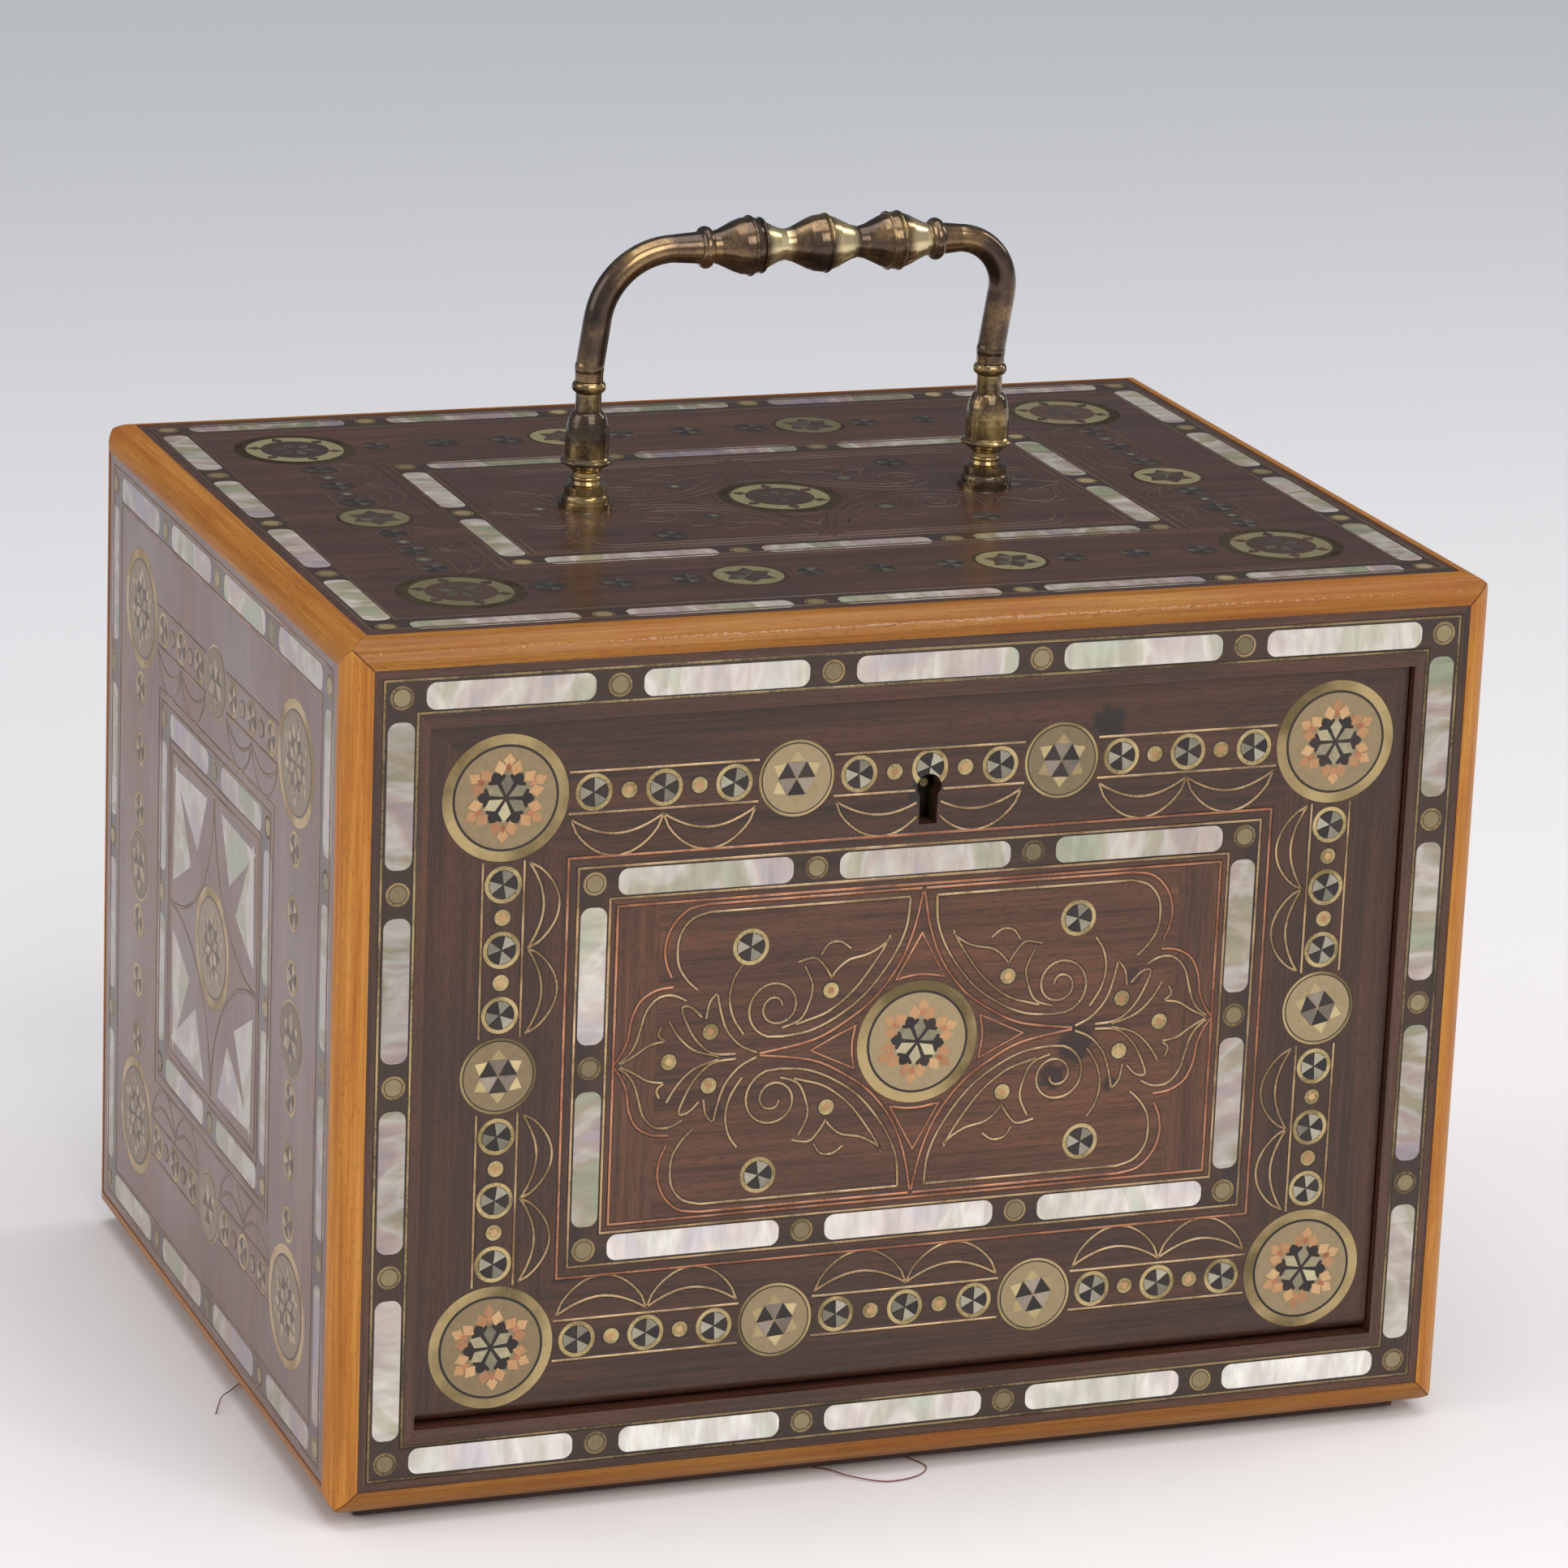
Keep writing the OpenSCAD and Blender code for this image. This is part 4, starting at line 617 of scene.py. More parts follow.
def strings(name, face, open_lines, closed_lines, wire, filler):
    mesh = run_tree(STRING, wire_mesh(open_lines, closed_lines), {
        "Width": STRING_W, "Groove": GROOVE_W, "Proud": 0.06, "Sunk": SUNK, "Wire": wire, "Filler": filler})
    print(name, len(open_lines) + len(closed_lines), "lines,", len(mesh.polygons), "faces")
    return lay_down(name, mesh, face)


# %% [markdown]
# Where the pearl and the brass discs lie is read back from the CAD nodes, so the string and the mosaics can't
# drift away from them. A node is one mesh of loose triangles. A copy is merged, and its separate pieces are
# told apart by walking from face to face.
# %% Find the pieces of a node
def loose_parts(node):
    """A merged copy of a node's mesh as a bmesh, and its pieces as lists of faces."""
    shape = bmesh.new()
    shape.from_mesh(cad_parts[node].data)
    shape.faces.layers.float.new("shell")
    shape.loops.layers.uv.new("along")
    bmesh.ops.remove_doubles(shape, verts=shape.verts, dist=1e-6)
    shape.faces.ensure_lookup_table()
    seen, parts = set(), []
    for start in shape.faces:
        if start.index in seen:
            continue
        part, edge_of_it = [], [start]
        seen.add(start.index)
        while edge_of_it:
            f = edge_of_it.pop()
            part.append(f)
            for e in f.edges:
                for g in e.link_faces:
                    if g.index not in seen:
                        seen.add(g.index)
                        edge_of_it.append(g)
        parts.append(part)
    return shape, parts


def round_pieces(node, face):
    """Middle and radius, in millimetres on a face's board, of the round pieces of a node."""
    back = BOARDS[face]["place"].inverted()
    shape, parts = loose_parts(node)
    found = []
    for part in parts:
        spots = [back @ v.co / MM for f in part for v in f.verts]
        if max(abs(s.z) for s in spots) > 3:
            continue
        lo = [min(s[i] for s in spots) for i in (0, 1)]
        hi = [max(s[i] for s in spots) for i in (0, 1)]
        found.append(((lo[0] + hi[0]) / 2, (lo[1] + hi[1]) / 2, (hi[0] - lo[0]) / 2))
    shape.free()
    return found


BRASS_NODE = {"frame": "frame_brass_inlay", "fall": "fall_brass_inlay", "back": "back_brass_inlay",
              "left": "side_brass_inlay", "right": "side_brass_inlay", "top": "top_brass_inlay"}
ROUNDS = {face: round_pieces(node, face) for face, node in BRASS_NODE.items()}
for face, found in ROUNDS.items():
    print(face, len(found), "round pieces, radii", sorted({round(r, 1) for x, y, r in found}))


def of_size(face, radius, slack=0.5):
    return [(x, y) for x, y, r in ROUNDS[face] if abs(r - radius) < slack]


# %% [markdown]
# A plaque of pearl keeps its CAD shape, but the shader wants to know which plaque it is on and which way the plaque
# runs. The merged copy gets both: a number for each plaque, and a map in millimetres along it. The number is drawn at
# random within a range set for each face and row, and those ranges are painted light and shade: the rows at the foot of
# the front are painted the whitest, its uprights grey, and the plaques of the top and sides dark.
# %% Pearl plaques
# Ranges of each plaque's number for each face and row: painted light and shade, whitest on the lower rows of the front
# and dark on the top and sides.
PEARL_PAINTED_LIGHT = {
    "frame": {"low": (0.75, 1.0), "high": (0.5, 0.85), "upright": (0.15, 0.7)},
    "fall": {"low": (0.7, 1.0), "high": (0.4, 0.7), "upright": (0.3, 0.95)},
    "top": {"low": (0.1, 0.4), "high": (0.0, 0.15), "upright": (0.1, 0.4)},
    "left": {"low": (0.1, 0.5), "high": (0.0, 0.5), "upright": (0.0, 0.3)},
    "back": {"low": (0.4, 0.9), "high": (0.3, 0.8), "upright": (0.2, 0.7)},
}


def pearl_piece(name, node, face, body):
    shape, parts = loose_parts(node)
    back = BOARDS[face]["place"].inverted()
    chance = random.Random(len(name) * 7)
    bright = PEARL_PAINTED_LIGHT[face]
    mark, along = shape.faces.layers.float["shell"], shape.loops.layers.uv["along"]
    for part in parts:
        spots = [back @ v.co / MM for f in part for v in f.verts]
        size = [max(s[i] for s in spots) - min(s[i] for s in spots) for i in (0, 1)]
        lying, below = size[0] >= size[1], spots[0].y < 0
        # The range picked by face and row is painted light and shade.
        number = chance.uniform(*bright["low" if lying and below else "high" if lying else "upright"])
        for f in part:
            f[mark] = number
            for loop in f.loops:
                spot = back @ loop.vert.co / MM
                loop[along].uv = (spot.x, spot.y) if lying else (spot.y, spot.x)
    mesh = bpy.data.meshes.new(name)
    shape.to_mesh(mesh)
    shape.free()
    mesh.materials.append(PEARL)
    piece = bpy.data.objects.new(name, mesh)
    bpy.context.scene.collection.objects.link(piece)
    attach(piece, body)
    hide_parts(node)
    print(name, len(parts), "plaques")
    return piece


pearl_piece("frame_pearl_plaques", "frame_pearl_inlay", "frame", "case")
pearl_piece("fall_pearl_plaques", "fall_pearl_inlay", "fall", "fall")
pearl_piece("top_pearl_plaques", "top_pearl_inlay", "top", "case")
pearl_piece("side_pearl_plaques", "side_pearl_inlay", "left", "case")
pearl_piece("back_pearl_plaques", "back_pearl_inlay", "back", "case")

# %% [markdown]
# A star is a ring of equal tiles. This small tree makes one tile from four corners, gives it thickness, and
# sets a number of them round a middle. It is used inside the bigger trees below, the way a jig is used again
# for each roundel.
# %% A ring of tiles
def tile_ring_tree():
    tree, given = new_tree("Tile ring", [("Count", "Int", 6), ("Inner", "Float", 1.0), ("Widest", "Float", 3.0),
                                         ("Outer", "Float", 6.0), ("Half width", "Float", 1.5), ("Turn", "Float", 0.0),
                                         ("Top", "Float", 0.1), ("Sunk", "Float", 0.3)])
    less = add(tree, "ShaderNodeMath", {"operation": "MULTIPLY"}, {0: given["Half width"], 1: -1.0}).outputs[0]
    corners = [(given["Inner"], None), (given["Widest"], given["Half width"]), (given["Outer"], None), (given["Widest"], less)]
    points = [add(tree, "ShaderNodeCombineXYZ", inputs={0: u, 1: 0.0 if v is None else v}).outputs[0] for u, v in corners]
    outline = add(tree, "GeometryNodeCurvePrimitiveQuadrilateral", {"mode": "POINTS"},
                  {"Point %d" % (i + 1): p for i, p in enumerate(points)}).outputs[0]
    flat = add(tree, "GeometryNodeFillCurve", {"mode": "NGONS"}, {0: outline}).outputs[0]
    thick = add(tree, "ShaderNodeMath", {"operation": "ADD"}, {0: given["Top"], 1: given["Sunk"]}).outputs[0]
    raised = add(tree, "GeometryNodeExtrudeMesh", {"mode": "FACES"}, {0: flat, "Offset Scale": thick, "Individual": False}).outputs[0]
    closed = add(tree, "GeometryNodeJoinGeometry")
    tree.links.new(raised, closed.inputs[0])
    tree.links.new(add(tree, "GeometryNodeFlipFaces", {}, {0: flat}).outputs[0], closed.inputs[0])
    tile = add(tree, "GeometryNodeMergeByDistance", {}, {0: closed.outputs[0], "Distance": 0.001}).outputs[0]
    down = add(tree, "ShaderNodeMath", {"operation": "MULTIPLY"}, {0: given["Sunk"], 1: -1.0}).outputs[0]
    tile = add(tree, "GeometryNodeTransform", {}, {0: tile, "Translation": add(
        tree, "ShaderNodeCombineXYZ", inputs={2: down}).outputs[0]}).outputs[0]
    share = add(tree, "ShaderNodeMath", {"operation": "DIVIDE"}, {0: 2 * math.pi, 1: given["Count"]}).outputs[0]
    index = add(tree, "GeometryNodeInputIndex").outputs[0]
    angle = add(tree, "ShaderNodeMath", {"operation": "MULTIPLY_ADD"}, {0: index, 1: share, 2: given["Turn"]}).outputs[0]
    turn = add(tree, "ShaderNodeCombineXYZ", inputs={2: angle}).outputs[0]
    spots = add(tree, "GeometryNodePoints", {}, {"Count": given["Count"]}).outputs[0]
    ring = add(tree, "GeometryNodeInstanceOnPoints", {}, {"Points": spots, "Instance": tile, "Rotation": add(
        tree, "FunctionNodeEulerToRotation", {}, {0: turn}).outputs[0]}).outputs[0]
    add(tree, "NodeGroupOutput", {}, {0: ring})
    return tree


TILE_RING = tile_ring_tree()

# %% [markdown]
# A roundel is a stack of thin things with one middle: discs, and rings of tiles on them. The next function
# writes a tree for any such stack from a short recipe. Everything is placed on the marked points, realized,
# given a random shade for each loose tile, and gets its materials last.
# %% A stack of discs and tiles
def stack_tree(name, recipe, vertices=48):
    """recipe rows: ("disc", material, radius, top) or ("tiles", material, count, inner, widest, outer, half, turn, top)."""
    tree, given = new_tree(name, [("Sunk", "Float", 0.3), ("Seed", "Int", 1)])
    joined = add(tree, "GeometryNodeJoinGeometry")
    materials = []
    for row in recipe:
        if row[1] not in materials:
            materials.append(row[1])
        if row[0] == "disc":
            deep = add(tree, "ShaderNodeMath", {"operation": "ADD"}, {0: given["Sunk"], 1: row[3]}).outputs[0]
            shape = add(tree, "GeometryNodeMeshCylinder", {}, {"Vertices": vertices, "Radius": row[2], "Depth": deep}).outputs[0]
            centre = add(tree, "ShaderNodeMath", {"operation": "MULTIPLY_ADD"}, {0: deep, 1: -0.5, 2: row[3]}).outputs[0]
            shape = add(tree, "GeometryNodeTransform", {}, {0: shape, "Translation": add(
                tree, "ShaderNodeCombineXYZ", inputs={2: centre}).outputs[0]}).outputs[0]
        else:
            sizes = dict(zip(("Count", "Inner", "Widest", "Outer", "Half width", "Turn", "Top"), row[2:]))
            sizes["Turn"] = math.radians(sizes["Turn"])
            shape = add(tree, "GeometryNodeGroup", {"node_tree": TILE_RING}, {**sizes, "Sunk": given["Sunk"]}).outputs[0]
        part = add(tree, "GeometryNodeStoreNamedAttribute", {"data_type": "INT", "domain": "INSTANCE" if row[0] == "tiles" else "FACE"},
                   {0: shape, "Name": "part", 3: materials.index(row[1]) + 1}).outputs[0]
        tree.links.new(part, joined.inputs[0])
    turn = add(tree, "GeometryNodeInputNamedAttribute", {"data_type": "FLOAT"}, {"Name": "turn"}).outputs[0]
    turn = add(tree, "ShaderNodeCombineXYZ", inputs={2: turn}).outputs[0]
    spots = add(tree, "GeometryNodeInstanceOnPoints", {}, {"Points": given["Geometry"], "Instance": joined.outputs[0],
                "Rotation": add(tree, "FunctionNodeEulerToRotation", {}, {0: turn}).outputs[0]}).outputs[0]
    result = add(tree, "GeometryNodeRealizeInstances", {}, {0: spots}).outputs[0]
    island = add(tree, "GeometryNodeInputMeshIsland").outputs[0]
    chance = add(tree, "FunctionNodeRandomValue", {"data_type": "FLOAT"}, {2: 0.0, 3: 1.0, "ID": island, "Seed": given["Seed"]})
    result = add(tree, "GeometryNodeStoreNamedAttribute", {"data_type": "FLOAT", "domain": "FACE"},
                 {0: result, "Name": "shade", 3: chance.outputs[1]}).outputs[0]
    part = add(tree, "GeometryNodeInputNamedAttribute", {"data_type": "INT"}, {"Name": "part"}).outputs[0]
    for number, material in enumerate(materials, 1):
        mine = add(tree, "FunctionNodeCompare", {"data_type": "INT", "operation": "EQUAL"}, {2: part, 3: number}).outputs[0]
        result = add(tree, "GeometryNodeSetMaterial", {}, {0: result, 1: mine, 2: material}).outputs[0]
    add(tree, "NodeGroupOutput", {}, {0: result})
    return tree


def marked(spots, turns=None):
    mesh = bpy.data.meshes.new("spots")
    mesh.from_pydata([(x, y, 0.0) for x, y in spots], [], [])
    mesh.attributes.new("turn", "FLOAT", "POINT").data.foreach_set("value", [math.radians(t) for t in turns or [0] * len(spots)])
    return mesh


def mosaics(name, face, tree, spots, turns=None, seed=3):
    mesh = run_tree(tree, marked(spots, turns), {"Sunk": SUNK, "Seed": seed})
    print(name, len(spots), "placed,", len(mesh.polygons), "faces")
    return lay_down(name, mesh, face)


# %% [markdown]
# The recipes. The great roundel has a khaki disc inside a thin dark ring, a flower of six cream kites, six black rhombi
# round it, and six points of three peach rhombi outside. The medium one holds a hexagon of black and mauve triangles,
# with a pale point on each of its sides. The small disc is a wheel of three black and three grey wedges. A stud has an
# olive core, and a pin is brass with a peach middle. One function writes each kind, in three looks: the front's own
# colours, darker copies that are painted shade on the top, and greyer copies that are painted sheen on the sides and
# back.
# %% Roundels, wheels, studs and pins
def great(name, ground, dark, petal, point, accent):
    return stack_tree(name, [
        ("disc", dark, 12.5, 0.03), ("disc", ground, 11.9, 0.05), ("disc", dark, 5.2, 0.07),
        ("tiles", petal, 6, 0.7, 3.6, 5.7, 1.5, 90, 0.11), ("tiles", dark, 6, 2.2, 5.0, 6.8, 2.3, 60, 0.09),
        ("tiles", point, 6, 5.4, 7.2, 9.1, 1.5, 75, 0.1), ("tiles", point, 6, 5.4, 7.2, 9.1, 1.5, 105, 0.1),
        ("tiles", point, 6, 7.1, 8.8, 10.6, 1.4, 90, 0.11), ("tiles", accent, 6, 6.0, 7.1, 8.3, 0.7, 90, 0.12)])


def medium(name, ground, dark, wedge, point):
    return stack_tree(name, [
        ("disc", dark, 8.5, 0.03), ("disc", ground, 8.2, 0.05), ("tiles", point, 6, 3.9, 4.1, 6.5, 1.8, 30, 0.09),
        ("tiles", dark, 3, 0.2, 3.9, 3.95, 2.2, 30, 0.1), ("tiles", wedge, 3, 0.2, 3.9, 3.95, 2.2, 90, 0.1)], 36)


def wheel(name, ring, dark, wedge):
    return stack_tree(name, [
        ("disc", ring, 4.38, 0.02), ("disc", dark, 3.45, 0.04), ("tiles", wedge, 3, 0.15, 3.05, 3.3, 1.55, 60, 0.09),
        ("tiles", dark, 3, 0.15, 3.05, 3.3, 1.55, 0, 0.09)], 28)


def pin(name, wire, core):
    return stack_tree(name, [("disc", MASTIC, 2.2, 0.03), ("disc", wire, 1.9, 0.07), ("disc", core, 0.8, 0.08)], 20)


# front, top and the other faces: the top's copies are darker, a painted shade, and those of the sides and back are
# greyer, a painted sheen
FRESH = {"great_roundels": great("Great roundel", KHAKI, EBONY, CREAM, PEACH, RUST),
         "medium_roundels": medium("Medium roundel", KHAKI, EBONY, MAUVE, PALE),
         "wheels": wheel("Wheel", RING_BRASS, EBONY, GREY), "pins": pin("Pin", RING_BRASS, PEACH)}
TOP_PAINTED_SHADE = {"great_roundels": stack_tree("Great roundel, dark", [
                ("disc", EBONY_PAINTED_SHADE, 12.5, 0.03), ("disc", BONE_PAINTED_SHADE, 12.0, 0.05), ("disc", EBONY_PAINTED_SHADE, 8.4, 0.07),
                ("tiles", GREY_PAINTED_SHADE, 6, 1.2, 3.7, 5.8, 1.35, 90, 0.11), ("tiles", EBONY_PAINTED_SHADE, 6, 8.0, 9.6, 12.0, 1.5, 90, 0.09)]),
            "medium_roundels": medium("Medium roundel, dark", BONE_PAINTED_SHADE, EBONY_PAINTED_SHADE, GREY_PAINTED_SHADE, EBONY_PAINTED_SHADE),
            "wheels": wheel("Wheel, dark", EBONY_PAINTED_SHADE, MASTIC, GREY_PAINTED_SHADE), "pins": pin("Pin, dark", GREY_PAINTED_SHADE, BONE_PAINTED_SHADE)}
SIDE_PAINTED_SHEEN = {"great_roundels": great("Great roundel, painted sheen", BONE_PAINTED_SHEEN, EBONY_PAINTED_SHEEN, PALE_PAINTED_SHEEN, PALE_PAINTED_SHEEN, BONE_PAINTED_SHEEN),
         "medium_roundels": medium("Medium roundel, painted sheen", BONE_PAINTED_SHEEN, EBONY_PAINTED_SHEEN, PALE_PAINTED_SHEEN, PALE_PAINTED_SHEEN),
         "wheels": wheel("Wheel, painted sheen", BRASS_SIDE, EBONY_PAINTED_SHEEN, PALE_PAINTED_SHEEN), "pins": pin("Pin, painted sheen", STRING_SIDE, BONE_PAINTED_SHEEN)}
STUD = stack_tree("Stud", [("disc", STRING_BORDER, 2.75, 0.02), ("disc", MASTIC, 2.2, 0.03), ("disc", STUD_BONE, 2.0, 0.06)], 20)

# %% [markdown]
# Each face is then laid out by rule from the round pieces found above. Between two neighbouring roundels
# runs a ribbon of two brass lines with wheels and pins in it, and under it hang two pairs of swags. Only the
# distances change from face to face, so one function serves all.
# %% Bands of ribbon and swags
def band_groups(face):
    """Stretches between neighbouring roundels: (side, from, to) with side 0 for the long rows and 1 for the others."""
    half = BOARDS[face]["half"]
    far = (half[0] - BAND_IN, half[1] - BAND_IN)
    rounds = [(x, y, GREAT_R) for x, y in of_size(face, GREAT_R)] + [(x, y, MEDIUM_R) for x, y in of_size(face, MEDIUM_R)]
    groups = []
    for axis in (0, 1):
        for sign in (-1, 1):
            row = sorted((p[axis], p[2]) for p in rounds if abs(p[1 - axis] - sign * far[1 - axis]) < 1.5)
            groups += [(axis, sign, a[0] + a[1], b[0] - b[1]) for a, b in zip(row, row[1:])]
    return far, groups


def swag(start, end, depth, bulge):
    steps = 18
    return [(start + (end - start) * i / steps, depth * math.sin(math.pi * i / steps) ** bulge) for i in range(steps + 1)]


def ribbons(face):
    """Ribbon lines, swags and pin places of a face."""
    far, groups = band_groups(face)
    lines, pins = [], []
    for axis, sign, start, end in groups:
        middle, long_row = (start + end) / 2, axis == 0
        drawn = [[(start, BAND_LINE), (end, BAND_LINE)], [(start, -BAND_LINE), (end, -BAND_LINE)]]
        for a, b in ((start + 0.6, middle), (middle, end - 0.6)):
            for depth, bulge in ((4.0, 0.9), (9.2, 0.62)) if long_row else ((3.6, 0.9), (7.3, 0.66)):
                drawn.append([(s, -BAND_LINE - 1.2 - d) for s, d in swag(a, b, depth, bulge)])
        wheels = sorted(p[axis] for p in of_size(face, DISC_R)
                        if abs(p[1 - axis] - sign * far[1 - axis]) < 1.5 and start < p[axis] < end)
        pins_here = [((a + b) / 2, 0.0) for a, b in zip(wheels, wheels[1:])]
        for line in drawn:
            flat = [(s, sign * (far[1 - axis] + t)) for s, t in line]
            lines.append(flat if long_row else [(t, s) for s, t in flat])
        for s, t in pins_here:
            spot = (s, sign * far[1 - axis])
            pins.append(spot if long_row else (spot[1], spot[0]))
    return lines, pins


# %% [markdown]
# The middle of the fall is drawn freehand on the real box: a pointed diamond round the central roundel, two
# leafy scrolls on each side, and a cartouche that closes them in. It is the same four times over, so only
# one quarter is measured and the rest is mirrored. The spiral is a formula, since its wire tightens evenly.
# %% Scrolls of the fall
def spiral(middle, wide, tight, turns):
    steps = 44
    line = []
    for i in range(steps + 1):
        t = i / steps
        r, a = wide - tight * t, -math.pi / 2 + t * turns * 2 * math.pi
        line.append((middle[0] + r * math.cos(a), middle[1] + r * math.sin(a)))
    return line


SPIRAL = spiral((35.2, 11.2), 7.4, 5.9, 1.72)
QUARTER_BRASS = [
    through([(3.3, 35.3), (4.0, 28.0), (7.3, 20.6), (13.2, 12.9), (19.8, 7.9), (26.6, 4.8), (33.5, 3.9)]) + SPIRAL[1:],
    [(3.3, 35.3)] + through([(52.0, 35.3), (56.2, 34.0), (58.8, 31.0), (59.6, 27.5), (59.2, 23.0), (57.0, 19.3), (54.4, 16.8)]),
    through([(57.1, 14.4), (60.2, 15.9), (63.8, 15.6), (66.6, 12.7), (67.9, 8.6), (68.9, 5.2), (70.6, 2.4), (73.0, 0.6)]),
    through([(62.1, 5.0), (65.7, 4.3), (69.0, 2.2), (72.6, 0.3)]),
    through([(7.8, 26.4), (10.4, 21.7), (16.0, 14.2), (22.2, 9.2), (27.9, 7.2), (30.1, 6.6)]),
    through([(33.5, 6.0), (29.1, 7.8), (27.0, 12.1), (26.5, 16.0), (28.5, 20.5)]),
    through([(30.1, 21.6), (26.0, 22.3), (23.5, 19.9), (21.8, 17.2)]),
    through([(21.8, 17.4), (20.6, 19.1), (17.8, 21.2), (13.3, 22.2), (9.8, 24.0), (7.7, 25.8)]),
    through([(24.6, 23.0), (22.9, 25.4), (20.0, 25.8), (17.4, 24.0)]),
    through([(43.6, 22.1), (45.7, 18.9), (46.6, 14.3), (45.6, 9.6), (42.9, 5.2)]),
    through([(39.6, 0.6), (43.6, 2.6), (46.9, 6.4), (48.5, 10.7), (49.6, 15.7)]),
    through([(49.6, 15.7), (51.4, 13.6), (52.1, 9.8)]),
    through([(44.6, 0.6), (50.2, 1.2), (54.3, 4.6), (57.0, 9.4), (58.0, 12.9), (55.6, 12.6), (53.2, 10.2)]),
    through([(48.8, 0.4), (54.6, 2.2), (58.6, 5.8), (61.1, 9.8)]),
    through([(62.0, 5.2), (63.6, 6.6), (62.9, 8.6)]),
]
QUARTER_COPPER = [
    [(0.6, 37.2)] + through([(52.0, 37.2), (57.3, 36.2), (61.0, 32.6), (62.6, 28.0), (62.2, 23.5), (60.8, 20.3)]),
    through([(60.4, 17.9), (64.5, 17.4), (68.1, 15.2), (70.1, 11.2), (70.9, 6.4), (72.3, 2.9), (74.2, 0.2)]),
    through([(0.2, 36.4), (2.1, 27.3), (5.4, 19.1), (11.0, 11.6), (17.9, 6.4), (26.0, 2.4), (38.8, 0.2)]),
]


def pointed(tip, foot, spread, hollow):
    """A triangle with a hollow base that follows the roundel."""
    base = [(foot - hollow * math.sin(math.pi * i / 6) * -1, spread - 2 * spread * i / 6) for i in range(7)]
    return [(tip, 0.0)] + base


SIDE_POINT = pointed(26.4, 15.4, 5.3, 0.8)
TOP_POINT = [(v, u) for u, v in pointed(26.4, 15.4, 6.1, 0.9)]
PANEL_WHEELS = [(38.9, 27.1), (42.3, -28.2), (-41.9, 26.2), (-38.1, -29.4)]
PANEL_PINS = mirrored([[(21.9, 14.2)], [(51.0, 6.5)]])
PANEL_PINS = [line[0] for line in PANEL_PINS] + [(60.9, 0.0), (-60.9, 0.0)]

# %% [markdown]
# Now every face is dressed. The frame has only its border. The fall and the top share the scrolls, and the sides and
# the back have a hollow diamond round their central roundel. On the top the brass, copper and mosaics get darker
# copies, a painted shade, so the lines can hardly be seen, and the sides and back get greyer copies, a painted sheen.
# %% Dress the faces
def border_lines(face):
    w, h = (v - BORDER_IN for v in BOARDS[face]["half"])
    return [rectangle(w + LINE_OUT, h + LINE_OUT), rectangle(w - LINE_IN, h - LINE_IN)]


def panel_lines(face):
    w, h = (v - PANEL_IN for v in BOARDS[face]["half"])
    brass = [rectangle(w + LINE_OUT - 0.1, h + LINE_OUT - 0.1), rectangle(w - LINE_IN, h - LINE_IN)]
    copper = [rectangle(w + COPPER_OUT, h + COPPER_OUT), rectangle(w - COPPER_IN, h - COPPER_IN)]
    return brass, copper


def hollow_diamond(w, h):
    """A diamond with hollow sides between the middles of a panel's sides."""
    quarter = [(w * (1 - math.sin(a)) + 0.3, h * (1 - math.cos(a)) + 0.3) for a in (math.pi / 2 * i / 14 for i in range(15))]
    return mirrored([quarter])


# The sides and back get the greyer copies, a painted sheen, and the top the darker copies, a painted shade.
SIDE_SHEEN_LOOK = (STRING_SIDE, STRING_SIDE, SIDE_FILLER, SIDE_PAINTED_SHEEN)
LOOKS = {"frame": (STRING_BORDER, COPPER, MASTIC, FRESH), "fall": (STRING_BRASS, COPPER, MASTIC, FRESH),
         "top": (STRING_TOP, COPPER_TOP, TOP_FILLER, TOP_PAINTED_SHADE), "left": SIDE_SHEEN_LOOK, "right": SIDE_SHEEN_LOOK, "back": SIDE_SHEEN_LOOK}


def cut_keyhole(piece):
    """Takes the keyhole out of a piece laid on the fall, with a block of the keyhole's shape."""
    meet, steps = math.acos(KEY_SLOT / 2 / KEY_R), 28  # where the slot's sides meet the round head
    turns = [(math.pi + 2 * meet) * i / steps - meet for i in range(steps + 1)]
    ring = [(KEY_R * math.cos(a), KEY_Y + KEY_R * math.sin(a)) for a in turns]
    ring += [(-KEY_SLOT / 2, KEY_Y - KEY_LONG), (KEY_SLOT / 2, KEY_Y - KEY_LONG)]
    count = len(ring)
    block = bpy.data.meshes.new("keyhole")
    block.from_pydata([(x, y, z) for z in (-2.0, 2.0) for x, y in ring], [],
                      [tuple(range(count))[::-1], tuple(range(count, 2 * count))]
                      + [(i, (i + 1) % count, (i + 1) % count + count, i + count) for i in range(count)])
    block.transform(BOARDS["fall"]["place"] @ Matrix.Scale(MM, 4))
    cutter = bpy.data.objects.new("keyhole", block)
    bpy.context.scene.collection.objects.link(cutter)
    cut = piece.modifiers.new("keyhole", "BOOLEAN")
    cut.object, cut.operation, cut.solver, cut.use_self = cutter, "DIFFERENCE", "EXACT", True
    clean = bpy.data.meshes.new_from_object(piece.evaluated_get(bpy.context.evaluated_depsgraph_get()))
    piece.modifiers.clear()
    piece.data = clean
    bpy.data.objects.remove(cutter)
    print("keyhole cut:", len(clean.polygons), "faces left")


